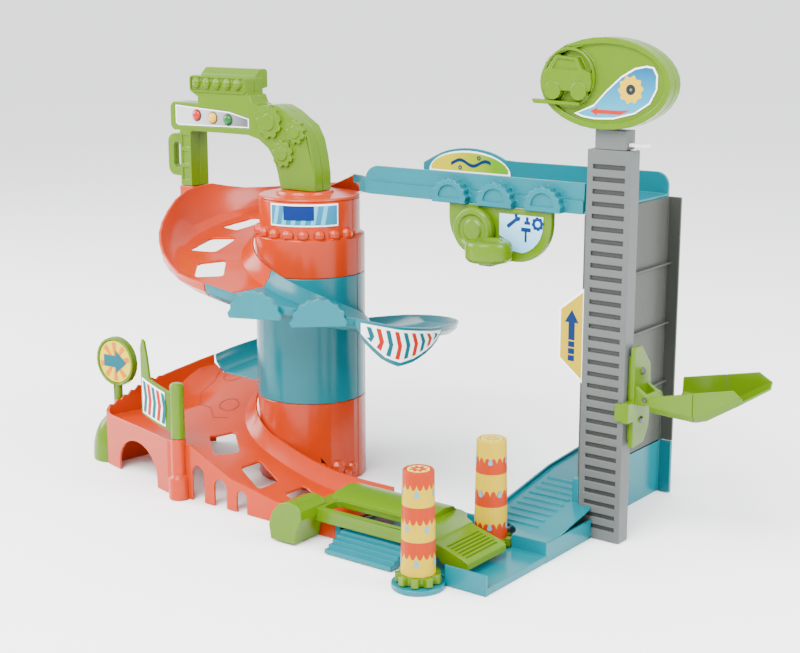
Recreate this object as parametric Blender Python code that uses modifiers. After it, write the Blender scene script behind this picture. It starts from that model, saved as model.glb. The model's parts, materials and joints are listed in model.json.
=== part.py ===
"""A child's garage: a spiral car track round a column, a bridge, a lift and a wash lane.

Metres, +Z up. The origin is on the column's axis, on the ground. +X runs along the bridge
to the lift, +Y to the back. Angles are in degrees round the column, from +X and
counterclockwise, and grow past 360 as the track winds down.
"""
import math

import bmesh
import bpy
from mathutils import Matrix, Vector

# Clearances and walls
GAP = 0.0003
WALL = 0.0024
TUCK = 0.0005
PIN_PLAY = 0.0003
ROUND_STEPS = 24
WELD_LIMIT = 0.0001

# Mouldings whose walls and feet share planes, where the exact solver leaves open edges
FLUSH_MOULDINGS = ("column_lower_front", "column_upper_front", "lower_track", "arch_front",
                   "arch_back", "bridge_deck", "workshop_panel", "lift_carriage", "base_tray",
                   "press_plate", "sign_head_front")

# Column
COLUMN_R = 0.052
COLUMN_WALL = 0.0025
LOWER_TIER_TOP = 0.079
MIDDLE_TIER_TOP = 0.198
LEDGE_Z = 0.234
DRUM_R = 0.0475
DRUM_TOP = 0.268
CAP_THICK = 0.0027
FOOT_THICK = 0.0024
BOSS_R = 0.028
BOSS_X = -0.006
BOSS_HEIGHT = 0.003
PARTING_ANGLE = 8
FRONT_ANGLE = -57
LABEL_HALF_TURN = 40
LABEL_THICK = 0.0005
FOAM_BALLS = 11
FOAM_R = 0.0060
FOAM_HALF_TURN = 88
SPLASH = ((-50, 0.0055, 0.0090), (-41, 0.0070, 0.0150), (-31, 0.0065, 0.0080),
          (-22, 0.0075, 0.0160), (-12, 0.0060, 0.0085), (-3, 0.0055, 0.0130))

# Spiral running face
TRACK_INNER = COLUMN_R + GAP + WALL + 0.0003
TRACK_RIM_R = 0.1392
TRACK_EDGE_R = TRACK_RIM_R - 0.0152
LEDGE_LIP = 0.014
UPPER_FROM = 80
MIDDLE_FROM = 269
LOWER_FROM = 535
STRAIGHT_FROM = 630
UPPER_Z = 0.270
MIDDLE_Z = 0.192
LOWER_Z = 0.0762
JOINT_ANGLE = 0.35
ROW_ANGLE = 8
UPPER_RIM = ((80, 0.009), (91, 0.011), (102, 0.007), (110, 0.008), (147, 0.018), (161, 0.025),
             (176, 0.039), (193, 0.041), (205, 0.033), (217, 0.027), (235, 0.019),
             (254, 0.0115), (269, 0.014))
MIDDLE_RIM = ((269, 0.014), (324, 0.013), (344, 0.008), (360, 0.008), (377, 0.011),
              (411, 0.014), (444, 0.017), (535, 0.017))
WINDOW_LONG = 0.033
WINDOW_WIDE = 0.027
WINDOW_ROUND = 0.004
WINDOW_SLANT = 0.35
UPPER_WINDOWS = (172, 204.5, 238)
WINDOW_R = 0.097

# Gear guards and label panel on the outside of the middle turn
GUARD_R = 0.0245
GUARD_THICK = 0.005
GUARD_TEETH = 9
GUARDS = ((290.5, 0.1795), (313.0, 0.1735))
APRON_LOW = ((326, 0.173), (328, 0.161), (332, 0.150), (337, 0.1385), (343, 0.1315),
             (350, 0.1335), (358, 0.140), (363, 0.147), (366, 0.154))
APRON_BORDER = 0.0028

# Lower tier: lane, parking corner and outer wall
BACK_LEFT = (-0.160, -0.045)
FRONT_LEFT = (-0.174, -0.108)
FRONT_BEND = (-0.060, -0.137)
FRONT_Y = FRONT_BEND[1]
EXIT_X = 0.140
CORNER_Z = 0.0485
LANE_Z = ((535, 0.0762), (570, 0.0590), (600, 0.0455), (610, 0.0410), (630, 0.0320))
EXIT_Z = ((0.0, 0.0320), (0.021, 0.0240), (0.045, 0.0170), (0.072, 0.0120), (0.100, 0.0100),
          (0.140, 0.0100))
WALL_TOP = ((535, 0.0932), (546, 0.0850), (556, 0.0790))
LEFT_TOP_BACK = 0.078
LEFT_TOP_FRONT = 0.057
LEFT_TEETH = 8
FRONT_TOP = ((-0.174, 0.052), (-0.030, 0.052), (0.019, 0.030), (0.073, 0.0195),
             (0.140, 0.0205))
BIG_ARCH_X = -0.115
BIG_ARCH_HALF = 0.036
BIG_ARCH_TOP = 0.036
DOOR_CUT = 0.012
SMALL_ARCHES = ((-0.021, 0.0075, 0.0335), (0.0065, 0.0075, 0.0260), (0.0325, 0.0060, 0.0206))
LANE_WINDOW = (610, 0.095)
EXIT_WINDOWS = ((0.021, -0.100), (0.072, -0.097))

# Gate
GATE_X = -0.0425
GATE_Y = -0.1395
GATE_POST_R = 0.007
GATE_FOOT_R = 0.010
GATE_FOOT_H = 0.020
GATE_POST_TOP = 0.057
GATE_SLEEVE_R = 0.0065
GATE_TOP = 0.109
GATE_PIN_R = 0.0025
GATE_PIN_LOW = 0.040
GATE_LONG = 0.036
GATE_TURN = 184
GATE_BEND = 24
GATE_THICK = 0.0025

# Round sign
SIGN_X = -0.1760
SIGN_Y = -0.089
SIGN_Z = 0.100
SIGN_R = 0.0245
SIGN_DEEP = 0.008
SIGN_TURN = 3
SIGN_POST_R = 0.0045
SIGN_FOOT_X = -0.186
SIGN_FOOT_R = 0.020
SIGN_FOOT_TOP = 0.044

# Arch over the column
ARCH_HALF = 0.012
ARCH_POST_X0 = -0.157
ARCH_POST_X1 = -0.1421
ARCH_POST_LOW = 0.268
BEAM_LOW = 0.3225
BEAM_HIGH = 0.0275
BEAM_TOP = BEAM_LOW + BEAM_HIGH
BEAM_LEFT = -0.169
HANDLE_LOW = BEAM_LOW - 0.0465
HANDLE_TOP = BEAM_LOW - 0.0045
HANDLE_BAR = 0.0085
CROWN_LOW = BEAM_TOP + 0.010
CROWN_TOP = CROWN_LOW + 0.0165
CROWN_BACK_TOP = CROWN_TOP + 0.007
CROWN_BACK_Y = 0.020
CROWN_X0 = -0.1405
CROWN_X1 = -0.067
CROWN_BUMPS = 5
LEG_LOW = DRUM_TOP + CAP_THICK + BOSS_HEIGHT + 2 * GAP
RECESS_DEEP = 0.0022
LAMP_R = 0.0052
LAMPS = (("lamp_red", "red", -0.1330, BEAM_LOW + 0.0155),
         ("lamp_yellow", "yellow", -0.1115, BEAM_LOW + 0.0140),
         ("lamp_green", "green", -0.0917, BEAM_LOW + 0.0130))
ARCH_GEARS = ((-0.0370, BEAM_LOW + 0.0135, 0.0155), (-0.0045, BEAM_LOW + 0.0060, 0.0115),
              (-0.0206, BEAM_LOW - 0.0150, 0.0130))

# Bridge
BRIDGE_LOW = 0.2765
BRIDGE_FLOOR = 0.0022
BRIDGE_FRONT_X = 0.0665
BRIDGE_RIGHT = 0.2992
BRIDGE_BACK = 0.146
BRIDGE_BACK_X = 0.028
BRIDGE_CLEAR_R = 0.054
GUARD_WALL = 0.003
GUARD_TOP = 0.302
GUARD_RIGHT = 0.296
SKIRT_TOP = 0.288
BACK_TOP = 0.298
BRIDGE_WHEELS = (0.166, 0.213, 0.261)
BRIDGE_WHEEL_R = 0.018
BRIDGE_WHEEL_DEEP = 0.010
OVAL_X = 0.084
OVAL_HALF = 0.053
OVAL_LOW = 0.2815
OVAL_TOP = 0.3065
OVAL_BORDER = 0.005

# Workshop panel
PANEL_X0 = 0.1646
PANEL_X1 = 0.2685
PANEL_LOW = 0.231
PANEL_THICK = 0.006
PANEL_ROUND = 0.034
DISC_X = 0.1937
DISC_Z = 0.2553
DISC_R = 0.020
DISC_THICK = 0.008
KNOB_X = 0.224
KNOB_Y = -0.0325
KNOB_Z = 0.2343
KNOB_R = 0.020
KNOB_H = 0.018
SPINDLE_R = 0.0030

# Lift tower
RACK_X0 = 0.2995
RACK_X1 = 0.3395
RACK_TOP = 0.331
RACK_PLATE = 0.003
RACK_DEEP = 0.012
SLOT_COUNT = 31
SLOT_PITCH = 0.0102
SLOT_FIRST = 0.0110
SLOT_H = 0.0038
SLOT_EDGE = 0.0052
WEB_THICK = 0.003
WEB_BACK = 0.148
HOUSING_TOP = 0.0495
WEB_FLANGE = 0.012
NECK_X0 = 0.306
NECK_X1 = 0.3346
ARROW_LEFT = 0.276
ARROW_LOW = 0.134
ARROW_TOP = 0.215
ARROW_CUT = 0.019
ARROW_THICK = 0.002

# Sign head
HEAD_X = 0.316
HEAD_Z = 0.384
HEAD_WIDE = 0.059
HEAD_HIGH = 0.0365
HEAD_FRONT = -0.010
HEAD_BACK = 0.008
HEAD_WALL = 0.0025
HEAD_RIM = 0.0050
HEAD_RECESS = 0.0025
CAR_X = HEAD_X - 0.0315
CAR_Z = HEAD_Z + 0.004
CAR_RING_R = 0.0240
CAR_RING_WALL = 0.0022
CAR_BODY = ((-0.0235, -0.0105), (0.0210, -0.0105), (0.0228, -0.0040), (0.0215, 0.0040),
            (0.0140, 0.0070), (0.0090, 0.0160), (-0.0110, 0.0175), (-0.0175, 0.0075),
            (-0.0240, 0.0025))
CAR_CABIN = ((-0.0135, 0.0070), (0.0105, 0.0060), (0.0062, 0.0138), (-0.0092, 0.0150))
CAR_LIFT = 0.0040
DROP_OUTLINE = ((-0.0270, -0.0245), (-0.0093, -0.0170), (0.0023, -0.0050), (0.0150, 0.0062),
                (0.0270, 0.0130), (0.0370, 0.0150), (0.0435, 0.0140), (0.0470, 0.0080),
                (0.0470, -0.0030), (0.0410, -0.0145), (0.0280, -0.0228), (0.0090, -0.0278),
                (-0.0080, -0.0285), (-0.0190, -0.0272))

# Base tray, ramp and housing
BASE_X0 = EXIT_X + GAP
BASE_MID_X = 0.238
BASE_X1 = 0.3131
LANE_FRONT_Y = FRONT_Y
BASE_FRONT_Y = -0.1646
LANE_BACK_Y = -0.055
STEP_Y = -0.0764
FLOOR_TOP = 0.006
LANE_WALL_TOP = 0.018
RAMP_X0 = 0.240
RAMP_PROFILE = ((-0.0764, 0.0175), (-0.060, 0.0175), (0.045, 0.0365), (0.148, 0.0445))
RAMP_RIB_PITCH = 0.010
RAMP_RIBS = 9
HOUSING_X0 = 0.2932
STAIR_X0 = 0.155
STAIR_X1 = 0.224
STAIR_OUT = 0.032
STAIR_COUNT = 6
STAIR_LOW = 0.002

# Rollers
ROLLER_X = 0.2584
ROLLER_YS = (("front", -0.178), ("back", -0.076))
ROLLER_TOP = 0.0964
ROLLER_TOP_R = 0.0125
ROLLER_LOW_R = 0.0140
ROLLER_GEAR_R = 0.0185
ROLLER_GEAR_DEPTH = 0.0045
ROLLER_GEAR_TOP = 0.012
ROLLER_TEETH = 9
ROLLER_PIN_R = 0.0025
LOBE_R = 0.0205
LOBE_H = 0.004

# Press plate
PRESS_LOW = 0.024
PRESS_TOP = 0.030
PRESS_X0 = 0.118
PRESS_X1 = 0.256
PRESS_BACK_Y = -0.080
PRESS_INNER_Y = -0.1245
RAIL_IN_Y = -0.1445
RAIL_OUT_Y = -0.150
SLOT_X0 = 0.134
SLOT_X1 = 0.232
PAD_X1 = 0.289
PAD_Y0 = -0.154
PAD_Y1 = -0.099
PAD_RIBS = 6
ELBOW_X0 = 0.096
ELBOW_X1 = 0.132
ELBOW_Y0 = -0.1715
ELBOW_Y1 = -0.1385
PRESS_PIN_X = 0.114
PRESS_PIN_Z = 0.012
PRESS_PIN_R = 0.002

# Lift carriage and tray
CARRIAGE_X = 0.3420
CARRIAGE_THICK = 0.004
CARRIAGE_LOW = 0.084
CARRIAGE_TOP = 0.170
CARRIAGE_Y0 = 0.003
CARRIAGE_Y1 = 0.033
HOOK_LOW = 0.107
HOOK_TOP = 0.124
HOOK_THICK = 0.0027
HINGE_X = 0.354
HINGE_Z = 0.126
HINGE_PIN_R = 0.002
LUG_R = 0.005
LUGS = ((0.006, 0.010), (0.026, 0.030))
TRAY_Y0 = -0.006
TRAY_Y1 = 0.058
TRAY_X0 = 0.364
TRAY_SEAM = 0.403
TRAY_TIP = 0.443
TRAY_WALL = 0.002
TRAY_FLOOR = ((0.364, 0.1212), (0.370, 0.1206), (0.403, 0.1190), (0.4126, 0.1220),
              (0.443, 0.1412))
TRAY_NEAR = ((0.364, 0.1330), (0.3998, 0.1416), (0.437, 0.1500), (0.443, 0.1440))
TRAY_FAR = ((0.364, 0.1375), (0.4315, 0.1520), (0.443, 0.1455))
SCREW_R = 0.0032


def fresh_scene():
    """Empty the scene and make one collection for parts and one for cutters."""
    for item in list(bpy.data.objects):
        bpy.data.objects.remove(item, do_unlink=True)
    for name in ("toy_garage", "cutters"):
        group = bpy.data.collections.new(name)
        bpy.context.scene.collection.children.link(group)


PAINTS = {
    "orange": ("moulded_orange", "DE4A1E", 0.28, 0.0),
    "teal": ("moulded_teal", "12A3B0", 0.28, 0.0),
    "lime": ("moulded_lime", "9DC41B", 0.28, 0.0),
    "grey": ("moulded_grey", "A3A7A7", 0.42, 0.0),
    "white": ("moulded_white", "ECECE8", 0.40, 0.0),
    "silver": ("silver_panel", "B9BCBE", 0.30, 0.0),
    "blue_label": ("printed_blue", "3D9FC9", 0.40, 0.0),
    "yellow_label": ("printed_yellow", "FFD800", 0.40, 0.0),
    "chevron_label": ("printed_white", "EFEFEA", 0.40, 0.0),
    "band_label": ("printed_bands", "EE9A40", 0.40, 0.0),
    "red": ("lamp_red", "D8261C", 0.20, 0.0),
    "yellow": ("lamp_yellow", "F2C500", 0.20, 0.0),
    "green": ("lamp_green", "009245", 0.20, 0.0),
    "steel": ("zinc_steel", "B9BCC0", 0.30, 1.0),
}


def material(paint):
    """A Principled material from an sRGB hex colour."""
    name, hex_value, roughness, metallic = PAINTS[paint]
    if name in bpy.data.materials:
        return bpy.data.materials[name]
    made = bpy.data.materials.new(name)
    made.use_nodes = True
    parts = [int(hex_value[i:i + 2], 16) / 255 for i in (0, 2, 4)]
    linear = [c / 12.92 if c <= 0.04045 else ((c + 0.055) / 1.055) ** 2.4 for c in parts]
    shader = made.node_tree.nodes["Principled BSDF"]
    shader.inputs["Base Color"].default_value = (*linear, 1.0)
    shader.inputs["Roughness"].default_value = roughness
    shader.inputs["Metallic"].default_value = metallic
    made.diffuse_color = (*linear, 1.0)
    return made


def finish(item, paint):
    """Put a part in its collection with its material and its round faces smooth."""
    bpy.data.collections["toy_garage"].objects.link(item)
    item.data.materials.clear()
    item.data.materials.append(material(paint))
    item.data.shade_smooth()
    item.data.set_sharp_from_angle(angle=math.radians(35))
    if any(step.type == "BOOLEAN" for step in item.modifiers):
        weld = item.modifiers.new("weld_slivers", "WELD")
        weld.merge_threshold = WELD_LIMIT
    return item


def as_cutter(item):
    """Keep a shape only to cut another part or to be joined to it."""
    bpy.data.collections["cutters"].objects.link(item)
    item.hide_render = True
    item.display_type = "WIRE"
    return item


def combine(target, helper, operation):
    step = target.modifiers.new(f"{operation.lower()}_{helper.name}", "BOOLEAN")
    step.operation = operation
    step.solver = "MANIFOLD" if target.name in FLUSH_MOULDINGS else "EXACT"
    step.object = as_cutter(helper)


def cut(target, helper):
    combine(target, helper, "DIFFERENCE")


def join(target, helper):
    combine(target, helper, "UNION")


def axis_empty(name, point):
    """An empty on a joint's axis."""
    empty = bpy.data.objects.new(name, None)
    empty.location = point
    empty.empty_display_size = 0.01
    bpy.data.collections["toy_garage"].objects.link(empty)
    return empty


def carry(empty, *items):
    """Parent pieces to the empty of their joint, where they are."""
    for item in items:
        item.parent = empty
        item.matrix_parent_inverse = Matrix.Translation(-Vector(empty.location))


def mesh_object(name, shape):
    """A new object from a bmesh with its faces turned outwards."""
    bmesh.ops.recalc_face_normals(shape, faces=shape.faces[:])
    mesh = bpy.data.meshes.new(name)
    shape.to_mesh(mesh)
    shape.free()
    return bpy.data.objects.new(name, mesh)


def add_box(shape, low, high):
    """Add a box between two corners to a bmesh, with its faces exactly at their values."""
    made = bmesh.ops.create_cube(shape, size=2.0)
    for corner in made["verts"]:
        corner.co = [high[i] if corner.co[i] > 0 else low[i] for i in range(3)]


def block(name, low, high):
    shape = bmesh.new()
    add_box(shape, low, high)
    return mesh_object(name, shape)


def boxes(name, corners):
    """Several separate boxes in one object, each given by its two corners."""
    shape = bmesh.new()
    for low, high in corners:
        add_box(shape, low, high)
    return mesh_object(name, shape)


def ball(name, centre, radius, segments=8, rings=5):
    """A ball from its centre and radius."""
    shape = bmesh.new()
    bmesh.ops.create_uvsphere(shape, u_segments=segments, v_segments=rings, radius=radius,
                              matrix=Matrix.Translation(centre))
    return mesh_object(name, shape)


# Exact quarter turns: the drawn axes go to X and Y, to X and Z, or to Y and Z
FACING = {
    "FLAT": Matrix.Identity(4),
    "FRONT": Matrix(((1, 0, 0, 0), (0, 0, -1, 0), (0, 1, 0, 0), (0, 0, 0, 1))),
    "SIDE": Matrix(((0, 0, 1, 0), (1, 0, 0, 0), (0, 1, 0, 0), (0, 0, 0, 1))),
}


def cylinder(name, centre, radius, height, facing="FLAT", top_radius=None, segments=24):
    """A cylinder or cone from its base centre: upright, to the front (-Y) or to +X."""
    shape = bmesh.new()
    bmesh.ops.create_cone(shape, cap_ends=True, segments=segments, radius1=radius,
                          radius2=radius if top_radius is None else top_radius, depth=height,
                          matrix=Matrix.Translation((0, 0, height / 2)))
    item = mesh_object(name, shape)
    item.data.transform(FACING[facing])
    item.location = centre
    return item


def turned(name, profile, centre=(0, 0, 0), facing="FLAT", closed=False, steps=ROUND_STEPS):
    """A round part: a profile that runs down its outer side, turned by a Screw modifier."""
    mesh = bpy.data.meshes.new(name)
    edges = [(i, i + 1) for i in range(len(profile) - 1)]
    if closed:
        edges.append((len(profile) - 1, 0))
    mesh.from_pydata([(r, 0, z) for r, z in profile], edges, [])
    item = bpy.data.objects.new(name, mesh)
    screw = item.modifiers.new("turn", "SCREW")
    screw.axis = "Z"
    screw.angle = math.tau
    screw.steps = steps
    screw.render_steps = steps
    screw.use_merge_vertices = True
    screw.merge_threshold = 0.00001
    item.location = centre
    item.rotation_euler = FACING[facing].to_euler()
    return item


def plate(name, outline, depth, centre=(0, 0, 0), facing="FRONT", holes=()):
    """A flat part: a closed outline as a filled 2D curve, thickened and made a mesh.

    FRONT puts the outline's axes on X and Z, SIDE on Y and Z, FLAT on X and Y. The centre
    is the middle of its thickness.
    """
    curve = bpy.data.curves.new(name, "CURVE")
    curve.dimensions = "2D"
    curve.fill_mode = "BOTH"
    curve.extrude = depth / 2
    for ring in (outline, *holes):
        spline = curve.splines.new("POLY")
        spline.points.add(len(ring) - 1)
        for point, (u, v) in zip(spline.points, ring):
            point.co = (u, v, 0, 1)
        spline.use_cyclic_u = True
    guide = bpy.data.objects.new(name, curve)
    bpy.context.scene.collection.objects.link(guide)
    bpy.context.view_layer.update()
    view = bpy.context.evaluated_depsgraph_get()
    flat = bpy.data.meshes.new_from_object(guide.evaluated_get(view))
    bpy.data.objects.remove(guide, do_unlink=True)
    shape = bmesh.new()
    shape.from_mesh(flat)
    bmesh.ops.remove_doubles(shape, verts=shape.verts[:], dist=0.000001)
    item = mesh_object(name, shape)
    item.data.transform(FACING[facing])
    item.location = centre
    return item


def front_plate(name, outline, y_front, y_back, holes=()):
    """A plate between two Y planes."""
    return plate(name, outline, y_back - y_front, (0, (y_front + y_back) / 2, 0), "FRONT",
                 holes)


def side_plate(name, outline, x_low, x_high):
    """A plate between two X planes."""
    return plate(name, outline, x_high - x_low, ((x_low + x_high) / 2, 0, 0), "SIDE")


def flat_plate(name, outline, z_low, z_high, holes=()):
    """A plate between two heights."""
    return plate(name, outline, z_high - z_low, (0, 0, (z_low + z_high) / 2), "FLAT", holes)


def shell(name, rows, thickness, outwards=False):
    """A walled moulding: a sheet through rows of points, thickened by Solidify."""
    shape = bmesh.new()
    grid = [[shape.verts.new(point) for point in row] for row in rows]
    for near, far in zip(grid, grid[1:]):
        for a, b, c, d in zip(near, near[1:], far[1:], far):
            shape.faces.new((a, b, c, d))
    mesh = bpy.data.meshes.new(name)
    shape.to_mesh(mesh)
    shape.free()
    item = bpy.data.objects.new(name, mesh)
    wall = item.modifiers.new("wall", "SOLIDIFY")
    wall.thickness = thickness
    wall.offset = 1.0 if outwards else -1.0
    wall.use_even_offset = True
    return item


def arc(cx, cy, radius, start, end, count, squash=1.0):
    """Points on an arc, its angles in degrees."""
    turns = [math.radians(start + (end - start) * i / count) for i in range(count + 1)]
    return [(cx + radius * math.cos(t), cy + radius * squash * math.sin(t)) for t in turns]


def ring(cx, cy, radius, count=24, squash=1.0):
    """Points of a whole circle or ellipse."""
    return arc(cx, cy, radius, 0, 360 - 360 / count, count - 1, squash)


def rounded(x0, y0, x1, y1, radius, count=4):
    """A rectangle's outline with round corners."""
    corners = ((x1 - radius, y0 + radius, -90), (x1 - radius, y1 - radius, 0),
               (x0 + radius, y1 - radius, 90), (x0 + radius, y0 + radius, 180))
    return [p for cx, cy, a in corners for p in arc(cx, cy, radius, a, a + 90, count)]


def gear(cx, cy, radius, depth, teeth):
    """A toothed outline with flat crowns and roots."""
    points = []
    for tooth in range(teeth):
        for share, r in ((0.05, radius - depth), (0.22, radius), (0.63, radius),
                         (0.80, radius - depth)):
            angle = math.tau * (tooth + share) / teeth
            points.append((cx + r * math.cos(angle), cy + r * math.sin(angle)))
    return points


def half_wheel(cx, base, radius, teeth, foot):
    """A half wheel with a notched crown over a straight foot."""
    points = [(cx - radius, foot), (cx + radius, foot)]
    for step in range(2 * teeth + 1):
        angle = math.pi * step / (2 * teeth)
        size = radius + (0.0009 if step % 2 else -0.0009)
        points.append((cx + size * math.cos(angle), base + size * math.sin(angle)))
    return points


def between(table, value):
    """Straight-line values between the pairs of a table."""
    for (a, low), (b, high) in zip(table, table[1:]):
        if value <= b:
            return low + (high - low) * max(0.0, value - a) / (b - a)
    return table[-1][1]


def polar(radius, angle, z):
    turn = math.radians(angle)
    return (radius * math.cos(turn), radius * math.sin(turn), z)


def spaced(start, end, step):
    """Even values from start to end, about a step apart."""
    count = max(1, round((end - start) / step))
    return [start + (end - start) * i / count for i in range(count + 1)]


def upper_z(angle):
    share = (angle - UPPER_FROM) / (MIDDLE_FROM - UPPER_FROM)
    return UPPER_Z + (MIDDLE_Z - UPPER_Z) * share


def middle_z(angle):
    share = (angle - MIDDLE_FROM) / (LOWER_FROM - MIDDLE_FROM)
    return MIDDLE_Z + (LOWER_Z - MIDDLE_Z) * share


def spiral_rows(start, end, height, rim_table):
    """Rows of points across the spiral from its inner lip to its outer rim."""
    rows = []
    for angle in spaced(start, end, ROW_ANGLE):
        z = height(angle)
        rim = between(rim_table, angle)
        rows.append([polar(TRACK_INNER, angle, z + LEDGE_LIP),
                     polar(TRACK_INNER + 0.0035, angle, z + LEDGE_LIP * 0.45),
                     polar(TRACK_INNER + 0.0100, angle, z),
                     polar(TRACK_EDGE_R, angle, z),
                     polar(TRACK_EDGE_R + 0.0080, angle, z + rim * 0.16),
                     polar(TRACK_RIM_R - 0.0015, angle, z + rim * 0.55),
                     polar(TRACK_RIM_R, angle, z + rim)])
    return rows


def window(name, centre, angle):
    """A cutter for a slanted, rounded window through a running face."""
    outline = [(u + v * WINDOW_SLANT, v) for u, v in
               rounded(-WINDOW_WIDE / 2, -WINDOW_LONG / 2, WINDOW_WIDE / 2, WINDOW_LONG / 2,
                       WINDOW_ROUND)]
    item = plate(name, outline, 0.030, centre, "FLAT")
    item.rotation_euler = (0, 0, math.radians(angle))
    return item


def half_space(name, keep_front):
    """A cutter that takes away the front or back half along the column's parting line."""
    if keep_front:
        item = block(name, (-0.1, -GAP / 2, -0.05), (0.1, 0.1, 0.35))
    else:
        item = block(name, (-0.1, -0.1, -0.05), (0.1, GAP / 2, 0.35))
    item.rotation_euler = (0, 0, math.radians(PARTING_ANGLE))
    return item


def add_bead(part, name, centre, radius, inner_radius):
    """Join a ball to the outside of a round wall, ending inside the wall's thickness."""
    bead = ball(name, centre, radius)
    cut(bead, cylinder(f"{name}_back", (0, 0, -0.01), inner_radius + COLUMN_WALL / 2, 0.35,
                       segments=2 * ROUND_STEPS))
    join(part, bead)


def make_column():
    """The hollow column: three tiers, each of a front and a back shell, and its cap."""
    inner = COLUMN_R - COLUMN_WALL
    drum_in = DRUM_R - COLUMN_WALL
    middle_low = LOWER_TIER_TOP + GAP
    upper_low = MIDDLE_TIER_TOP + GAP
    straight = [(COLUMN_R, LOWER_TIER_TOP), (COLUMN_R, 0.0), (inner, 0.0),
                (inner, LOWER_TIER_TOP)]
    tube = [(COLUMN_R, MIDDLE_TIER_TOP), (COLUMN_R, middle_low), (inner, middle_low),
            (inner, MIDDLE_TIER_TOP)]
    stepped = [(DRUM_R, DRUM_TOP), (DRUM_R, LEDGE_Z + 0.001), (COLUMN_R - 0.001, LEDGE_Z),
               (COLUMN_R, LEDGE_Z - 0.001), (COLUMN_R, upper_low), (inner, upper_low),
               (inner, LEDGE_Z - COLUMN_WALL), (drum_in, LEDGE_Z - COLUMN_WALL),
               (drum_in, DRUM_TOP)]
    for tier, paint, profile in (("lower", "orange", straight), ("middle", "teal", tube),
                                 ("upper", "orange", stepped)):
        for side in ("front", "back"):
            part = turned(f"column_{tier}_{side}", profile, closed=True)
            if side == "front" and tier == "upper":
                for angle in spaced(FRONT_ANGLE - FOAM_HALF_TURN, FRONT_ANGLE + FOAM_HALF_TURN,
                                    2 * FOAM_HALF_TURN / (FOAM_BALLS - 1)):
                    foam = polar(DRUM_R, angle, LEDGE_Z + FOAM_R * 0.55)
                    add_bead(part, f"foam_{angle:.0f}", foam, FOAM_R, drum_in)
            if side == "front" and tier == "lower":
                for angle, radius, z in SPLASH:
                    drop = polar(COLUMN_R - 0.001, angle, z)
                    add_bead(part, f"splash_{-angle}", drop, radius, inner)
            cut(part, half_space(f"halve_{tier}_{side}", side == "front"))
            finish(part, paint)
    foot_radius = inner * math.cos(math.pi / ROUND_STEPS) - GAP
    finish(cylinder("column_foot", (0, 0, 0), foot_radius, FOOT_THICK, segments=2 * ROUND_STEPS),
           "orange")
    low = DRUM_TOP + GAP
    cap = turned("column_cap", [(0.0, low + CAP_THICK), (DRUM_R - 0.0012, low + CAP_THICK),
                                (DRUM_R, low + CAP_THICK - 0.0012), (DRUM_R, low), (0.0, low)])
    join(cap, cylinder("cap_boss", (BOSS_X, 0, low + CAP_THICK - 0.001), BOSS_R,
                       BOSS_HEIGHT + 0.001, top_radius=BOSS_R - 0.0015, segments=32))
    finish(cap, "orange")
    angles = spaced(FRONT_ANGLE - LABEL_HALF_TURN, FRONT_ANGLE + LABEL_HALF_TURN, 8)
    radius = DRUM_R + GAP
    low = LEDGE_Z + 2 * FOAM_R
    rows = [[polar(radius, a, low), polar(radius, a, DRUM_TOP - 0.0015)] for a in angles]
    finish(shell("column_label", rows, LABEL_THICK), "blue_label")


def square_start(track, angle):
    """Trim a turn's upper end square, so that it stays clear of the turn before it."""
    end = block(f"square_end_{angle:.0f}", (0.03, -0.01, -0.01), (0.16, 0.0, 0.31))
    end.rotation_euler = (0, 0, math.radians(angle))
    cut(track, end)


def make_upper_track():
    """The orange upper half turn with its three windows and the seat of the arch's post."""
    track = shell("upper_track", spiral_rows(UPPER_FROM, MIDDLE_FROM, upper_z, UPPER_RIM), WALL)
    for angle in UPPER_WINDOWS:
        cut(track, window(f"upper_window_{angle}", polar(WINDOW_R, angle, upper_z(angle)), angle))
    square_start(track, UPPER_FROM)
    top = ARCH_POST_LOW - GAP
    seat = side_plate("post_seat", [(-ARCH_HALF - 0.001, top), (-ARCH_HALF - 0.001, top - 0.012),
                                    (-0.006, top - 0.034), (0.006, top - 0.034),
                                    (ARCH_HALF + 0.003, top - 0.012), (ARCH_HALF + 0.003, top)],
                      ARCH_POST_X0 - 0.001, -TRACK_RIM_R - 0.0008)
    join(track, seat)
    finish(track, "orange")


def make_middle_track():
    """The teal turn and a half, its gear guards, its hanging panel and the panel's label."""
    start = MIDDLE_FROM + JOINT_ANGLE
    track = shell("middle_track", spiral_rows(start, LOWER_FROM, middle_z, MIDDLE_RIM), WALL)
    square_start(track, start)
    for index, (angle, base) in enumerate(GUARDS):
        guard = plate(f"gear_guard_{index}", half_wheel(0, 0, GUARD_R, GUARD_TEETH, 0),
                      GUARD_THICK, polar(TRACK_RIM_R + GUARD_THICK / 2 + 0.0002, angle, base))
        guard.rotation_euler = (0, 0, math.radians(angle + 90))
        join(track, guard)
    radius = TRACK_RIM_R + WALL - 0.0007
    rows = []
    for angle in spaced(APRON_LOW[0][0], APRON_LOW[-1][0], 3.3):
        top = middle_z(angle) + between(MIDDLE_RIM, angle) - 0.0004
        rows.append([polar(radius, angle, between(APRON_LOW, angle)), polar(radius, angle, top)])
    join(track, shell("turn_panel", rows, WALL, outwards=False))
    finish(track, "teal")
    side = math.degrees(APRON_BORDER / radius)
    face = radius + WALL + GAP
    rows = []
    for angle in spaced(APRON_LOW[0][0] + side * 1.6, APRON_LOW[-1][0] - side, 3):
        top = middle_z(angle) + between(MIDDLE_RIM, angle) - APRON_BORDER
        low = between(APRON_LOW, angle) + APRON_BORDER * 1.4
        rows.append([polar(face, angle, low), polar(face, angle, top)])
    finish(shell("turn_label", rows, LABEL_THICK), "chevron_label")


def ray_radius(angle, first, second):
    """Distance from the axis at which a ray at an angle meets the line of two points."""
    turn = math.radians(angle)
    ex, ey = second[0] - first[0], second[1] - first[1]
    return ((first[0] * ey - first[1] * ex)
            / (math.cos(turn) * ey - math.sin(turn) * ex))


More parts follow.
